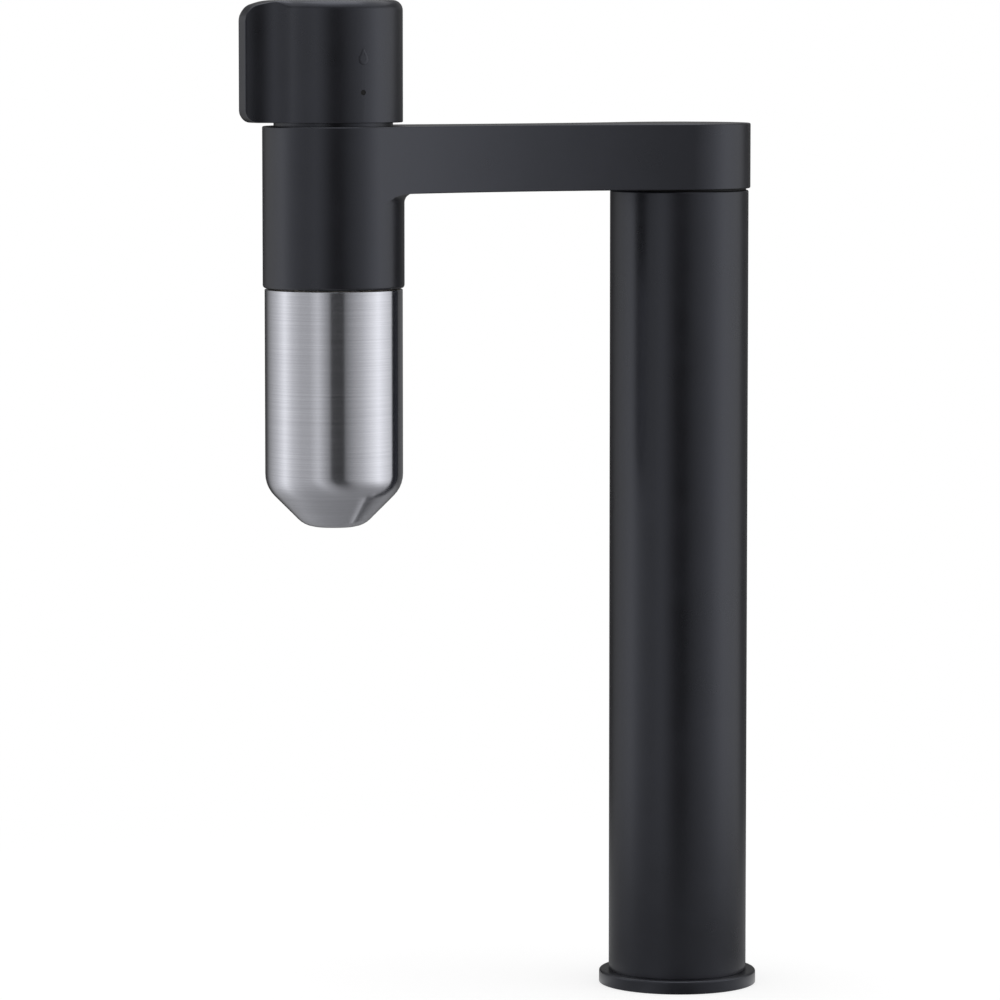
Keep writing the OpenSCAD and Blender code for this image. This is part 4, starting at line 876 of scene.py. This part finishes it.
blank = bpy.data.objects.new("thread_blank", bpy.data.meshes.new("thread_blank"))
bpy.context.scene.collection.objects.link(blank)
maker = blank.modifiers.new("thread", "NODES")
maker.node_group = thread_tree
socket_of = {item.name: item.identifier for item in thread_tree.interface.items_tree}
maker[socket_of["Finish"]] = white_acetal
liner_mesh = turned(liner_profile, -REACH)
thread_data = bpy.data.meshes.new_from_object(blank.evaluated_get(
    bpy.context.evaluated_depsgraph_get()))
blank.modifiers.remove(maker)
bpy.data.objects.remove(blank)
liner_mesh.from_mesh(thread_data)
bpy.data.meshes.remove(thread_data)
liner = piece("capsule_pressure_cup", liner_mesh, white_acetal, "capsule",
              sharp=50)
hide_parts("capsule_liner")

# --- Outlet nozzle -----------------------------------------------------------------------------
# A moulded black insert that clips through the capsule's tip. Its flange rests on a flat rubber
# ring, and a disc with small holes in its mouth straightens the stream.
nozzle = piece("nozzle_insert", turned(rounded([
    (6.5, TIP_Z, 0.25), (6.5, 162.7, 0), (6.6, 162.7, 0), (6.6, 163.5, 0), (8.0, 163.5, 0),
    (8.0, 162.7, 0), (8.3, 162.7, 0), (8.3, 164.7, 0.3), (6.5, 164.7, 0), (6.5, 173.2, 0.3),
    (4.7, 173.2, 0.2), (4.7, 167.2, 0), (2.8, 167.2, 0), (2.8, 162.8, 0), (4.65, 162.8, 0),
    (4.65, TIP_Z, 0.15)]), -REACH, 96), black_acetal, "capsule")
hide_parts("outlet_nozzle")
dress(["nozzle_seal"], black_rubber)
dress(["flow_straightener"], white_acetal)

# --- Studio ------------------------------------------------------------------------------------
# The tap stands on a pale floor inside a ring of lit cloth, as in a product studio: bright cloth
# on the right, softer on the left, and a dark gap where the camera looks in.
RING_R, RING_LOW, RING_HIGH, FLOOR_Z = 1.12, -0.02, 1.1, -0.0001


def stage(name, rows, material, **seen_by):
    """A part of the studio, from two rows of points in metres."""
    mesh = bmesh.new()
    one, two = ([mesh.verts.new(p) for p in row] for row in rows)
    skin(mesh, one, two)
    bmesh.ops.remove_doubles(mesh, verts=mesh.verts, dist=1e-6)
    data = bpy.data.meshes.new(name)
    mesh.to_mesh(data)
    mesh.free()
    data.materials.append(material)
    made = bpy.data.objects.new(name, data)
    bpy.context.scene.collection.objects.link(made)
    for ray, value in seen_by.items():
        setattr(made, "visible_" + ray, value)


def cloth_light(tree, place):
    """The cloth's light by direction, in degrees from +X towards +Y. 1 is as bright as white."""
    angle, height = bearing(tree, place)
    share = add(tree, "ShaderNodeMapRange", {"Value": angle, "From Min": -math.pi,
                "From Max": math.pi})
    light = add(tree, "ShaderNodeValToRGB", {"Fac": share.outputs["Result"]})
    stops = [(-180, 0.05), (-168, 0.10), (-155, 0.37), (-130, 0.80), (-112, 1.32), (-97, 0.82),
             (-83, 0.60), (-69, 0.58), (-56, 0.84), (-45, 0.48), (-38, 0.28), (-35, 0.05),
             (-16, 0.05), (-13, 0.24), (0, 0.46), (15, 0.70), (30, 1.04), (50, 1.48),
             (69, 1.10), (80, 0.90), (91, 0.68), (99, 0.17), (112, 0.10), (134, 0.15),
             (155, 0.14), (180, 0.05)]
    while len(light.color_ramp.elements) < len(stops):
        light.color_ramp.elements.new(0.5)
    for element, (degrees, level) in zip(light.color_ramp.elements, stops):
        element.position = (degrees + 180) / 360
        element.color = (level / 2, level / 2, level / 2, 1.0)
    high = add(tree, "ShaderNodeMapRange", {"Value": height, "From Min": 0.55, "From Max": 0.85,
               "To Min": 2.0, "To Max": 0.7})
    glow = add(tree, "ShaderNodeEmission", {"Color": light.outputs["Color"],
               "Strength": high.outputs["Result"]})
    upper = add(tree, "ShaderNodeMapRange", {"Value": height, "From Min": 0.28, "From Max": 0.40,
                "To Max": 0.08})
    haze = add(tree, "ShaderNodeEmission", {"Strength": upper.outputs["Result"]})
    return add(tree, "ShaderNodeAddShader", {0: glow.outputs["Emission"],
               1: haze.outputs["Emission"]}).outputs["Shader"]


# Lit cloth: smooth, with a soft change of brightness round the ring. A little haze lies over it
# from the tap's head upwards, and its top fades.
lit_cloth, tree, place = new_material("lit_cloth")
add(tree, "ShaderNodeOutputMaterial", {"Surface": cloth_light(tree, place)})
ring = [circle(RING_R, z, 0.0) for z in (RING_LOW, RING_HIGH)]
stage("cloth_ring", ring, lit_cloth, camera=False, shadow=False)

# The floor is a pale matt card. It keeps the soft shadow round the foot, turns into the white
# surround further out, and mirrors the cloth's light close to the foot and towards its edge, as a
# smooth card does. From below it is clear, so that the tap's underside can be looked at.
card, tree, place = new_material("pale_floor_card")
path = add(tree, "ShaderNodeLightPath")
flat = add(tree, "ShaderNodeVectorMath", {0: place, 1: (1.0, 1.0, 0.0)}, operation="MULTIPLY")
away = add(tree, "ShaderNodeVectorMath", {0: flat.outputs["Vector"]}, operation="LENGTH")

# What the camera sees: the matt card, lifted to a pale grey, which fades into white.
fade = add(tree, "ShaderNodeMapRange", {"Value": away.outputs["Value"], "From Min": 0.10,
           "From Max": 0.45}, interpolation_type="SMOOTHSTEP")
fade = add(tree, "ShaderNodeMath", {0: fade.outputs["Result"], 1: path.outputs["Is Camera Ray"]},
           operation="MULTIPLY")
matt = add(tree, "ShaderNodeBsdfDiffuse", {"Color": srgb("#b2b2b2")})
lift = add(tree, "ShaderNodeMath", {0: path.outputs["Is Camera Ray"], 1: 0.68},
           operation="MULTIPLY")
lifted = add(tree, "ShaderNodeEmission", {"Strength": lift.outputs["Value"]})
near = add(tree, "ShaderNodeAddShader", {0: matt.outputs["BSDF"], 1: lifted.outputs["Emission"]})
white = add(tree, "ShaderNodeEmission", {"Strength": 1.0})
floor_mix = add(tree, "ShaderNodeMixShader", {0: fade.outputs["Value"], 1: near.outputs["Shader"],
                2: white.outputs["Emission"]})

# What the tap mirrors: the cloth's light, at the foot and far out.
far_glint = add(tree, "ShaderNodeMapRange", {"Value": away.outputs["Value"], "From Min": 0.08,
                "From Max": 0.60}, interpolation_type="SMOOTHSTEP")
foot_glint = add(tree, "ShaderNodeMapRange", {"Value": away.outputs["Value"], "From Min": 0.035,
                 "From Max": 0.06, "To Min": 0.6, "To Max": 0.0})
glint = add(tree, "ShaderNodeMath", {0: far_glint.outputs["Result"],
            1: foot_glint.outputs["Result"]}, operation="MAXIMUM")
glint = add(tree, "ShaderNodeMath", {0: glint.outputs["Value"], 1: path.outputs["Is Glossy Ray"]},
            operation="MULTIPLY")
floor_mix = add(tree, "ShaderNodeMixShader", {0: glint.outputs["Value"],
                1: floor_mix.outputs["Shader"], 2: cloth_light(tree, place)})
clear = add(tree, "ShaderNodeBsdfTransparent")
side = add(tree, "ShaderNodeNewGeometry")
floor_mix = add(tree, "ShaderNodeMixShader", {0: side.outputs["Backfacing"],
                1: floor_mix.outputs["Shader"], 2: clear.outputs["BSDF"]})
add(tree, "ShaderNodeOutputMaterial", {"Surface": floor_mix.outputs["Shader"]})
stage("floor_card", [circle(radius, FLOOR_Z, 0.0) for radius in (RING_R, 0.0)], card)

world = bpy.data.worlds.new("white_surround")
bpy.context.scene.world = world
world.use_nodes = True
tree = world.node_tree
tree.nodes.clear()
path = add(tree, "ShaderNodeLightPath")
seen = add(tree, "ShaderNodeMath", {0: path.outputs["Is Camera Ray"],
           1: path.outputs["Is Glossy Ray"]}, operation="MAXIMUM")
seen = add(tree, "ShaderNodeMath", {0: seen.outputs["Value"],
           1: path.outputs["Is Transmission Ray"]}, operation="MAXIMUM")
strength = add(tree, "ShaderNodeMapRange", {"Value": seen.outputs["Value"], "To Min": 0.8,
               "To Max": 1.0})
sky = add(tree, "ShaderNodeBackground", {"Color": (1, 1, 1, 1),
          "Strength": strength.outputs["Result"]})
add(tree, "ShaderNodeOutputWorld", {"Surface": sky.outputs["Background"]})

lamp_data = bpy.data.lights.new("overhead_softbox", "AREA")
lamp_data.shape, lamp_data.size, lamp_data.energy = "SQUARE", 1.2, 6.0
lamp = bpy.data.objects.new("overhead_softbox", lamp_data)
lamp.location = (0.0, -0.06, 1.7)
lamp.visible_camera = False
bpy.context.scene.collection.objects.link(lamp)

camera_data = bpy.data.cameras.new("camera")
camera_data.lens, camera_data.sensor_width = 194.08, 36.0
camera = bpy.data.objects.new("camera", camera_data)
bpy.context.scene.collection.objects.link(camera)
bpy.context.scene.camera = camera
camera.location = (1.5689, -0.8691, 0.3200)
yaw, pitch = math.radians(152.918), math.radians(-5.026)
aim = Vector((math.cos(yaw) * math.cos(pitch), math.sin(yaw) * math.cos(pitch), math.sin(pitch)))
camera.rotation_euler = aim.to_track_quat("-Z", "Y").to_euler()
camera_data.clip_end = 20.0

bpy.context.scene.view_settings.view_transform = "Standard"
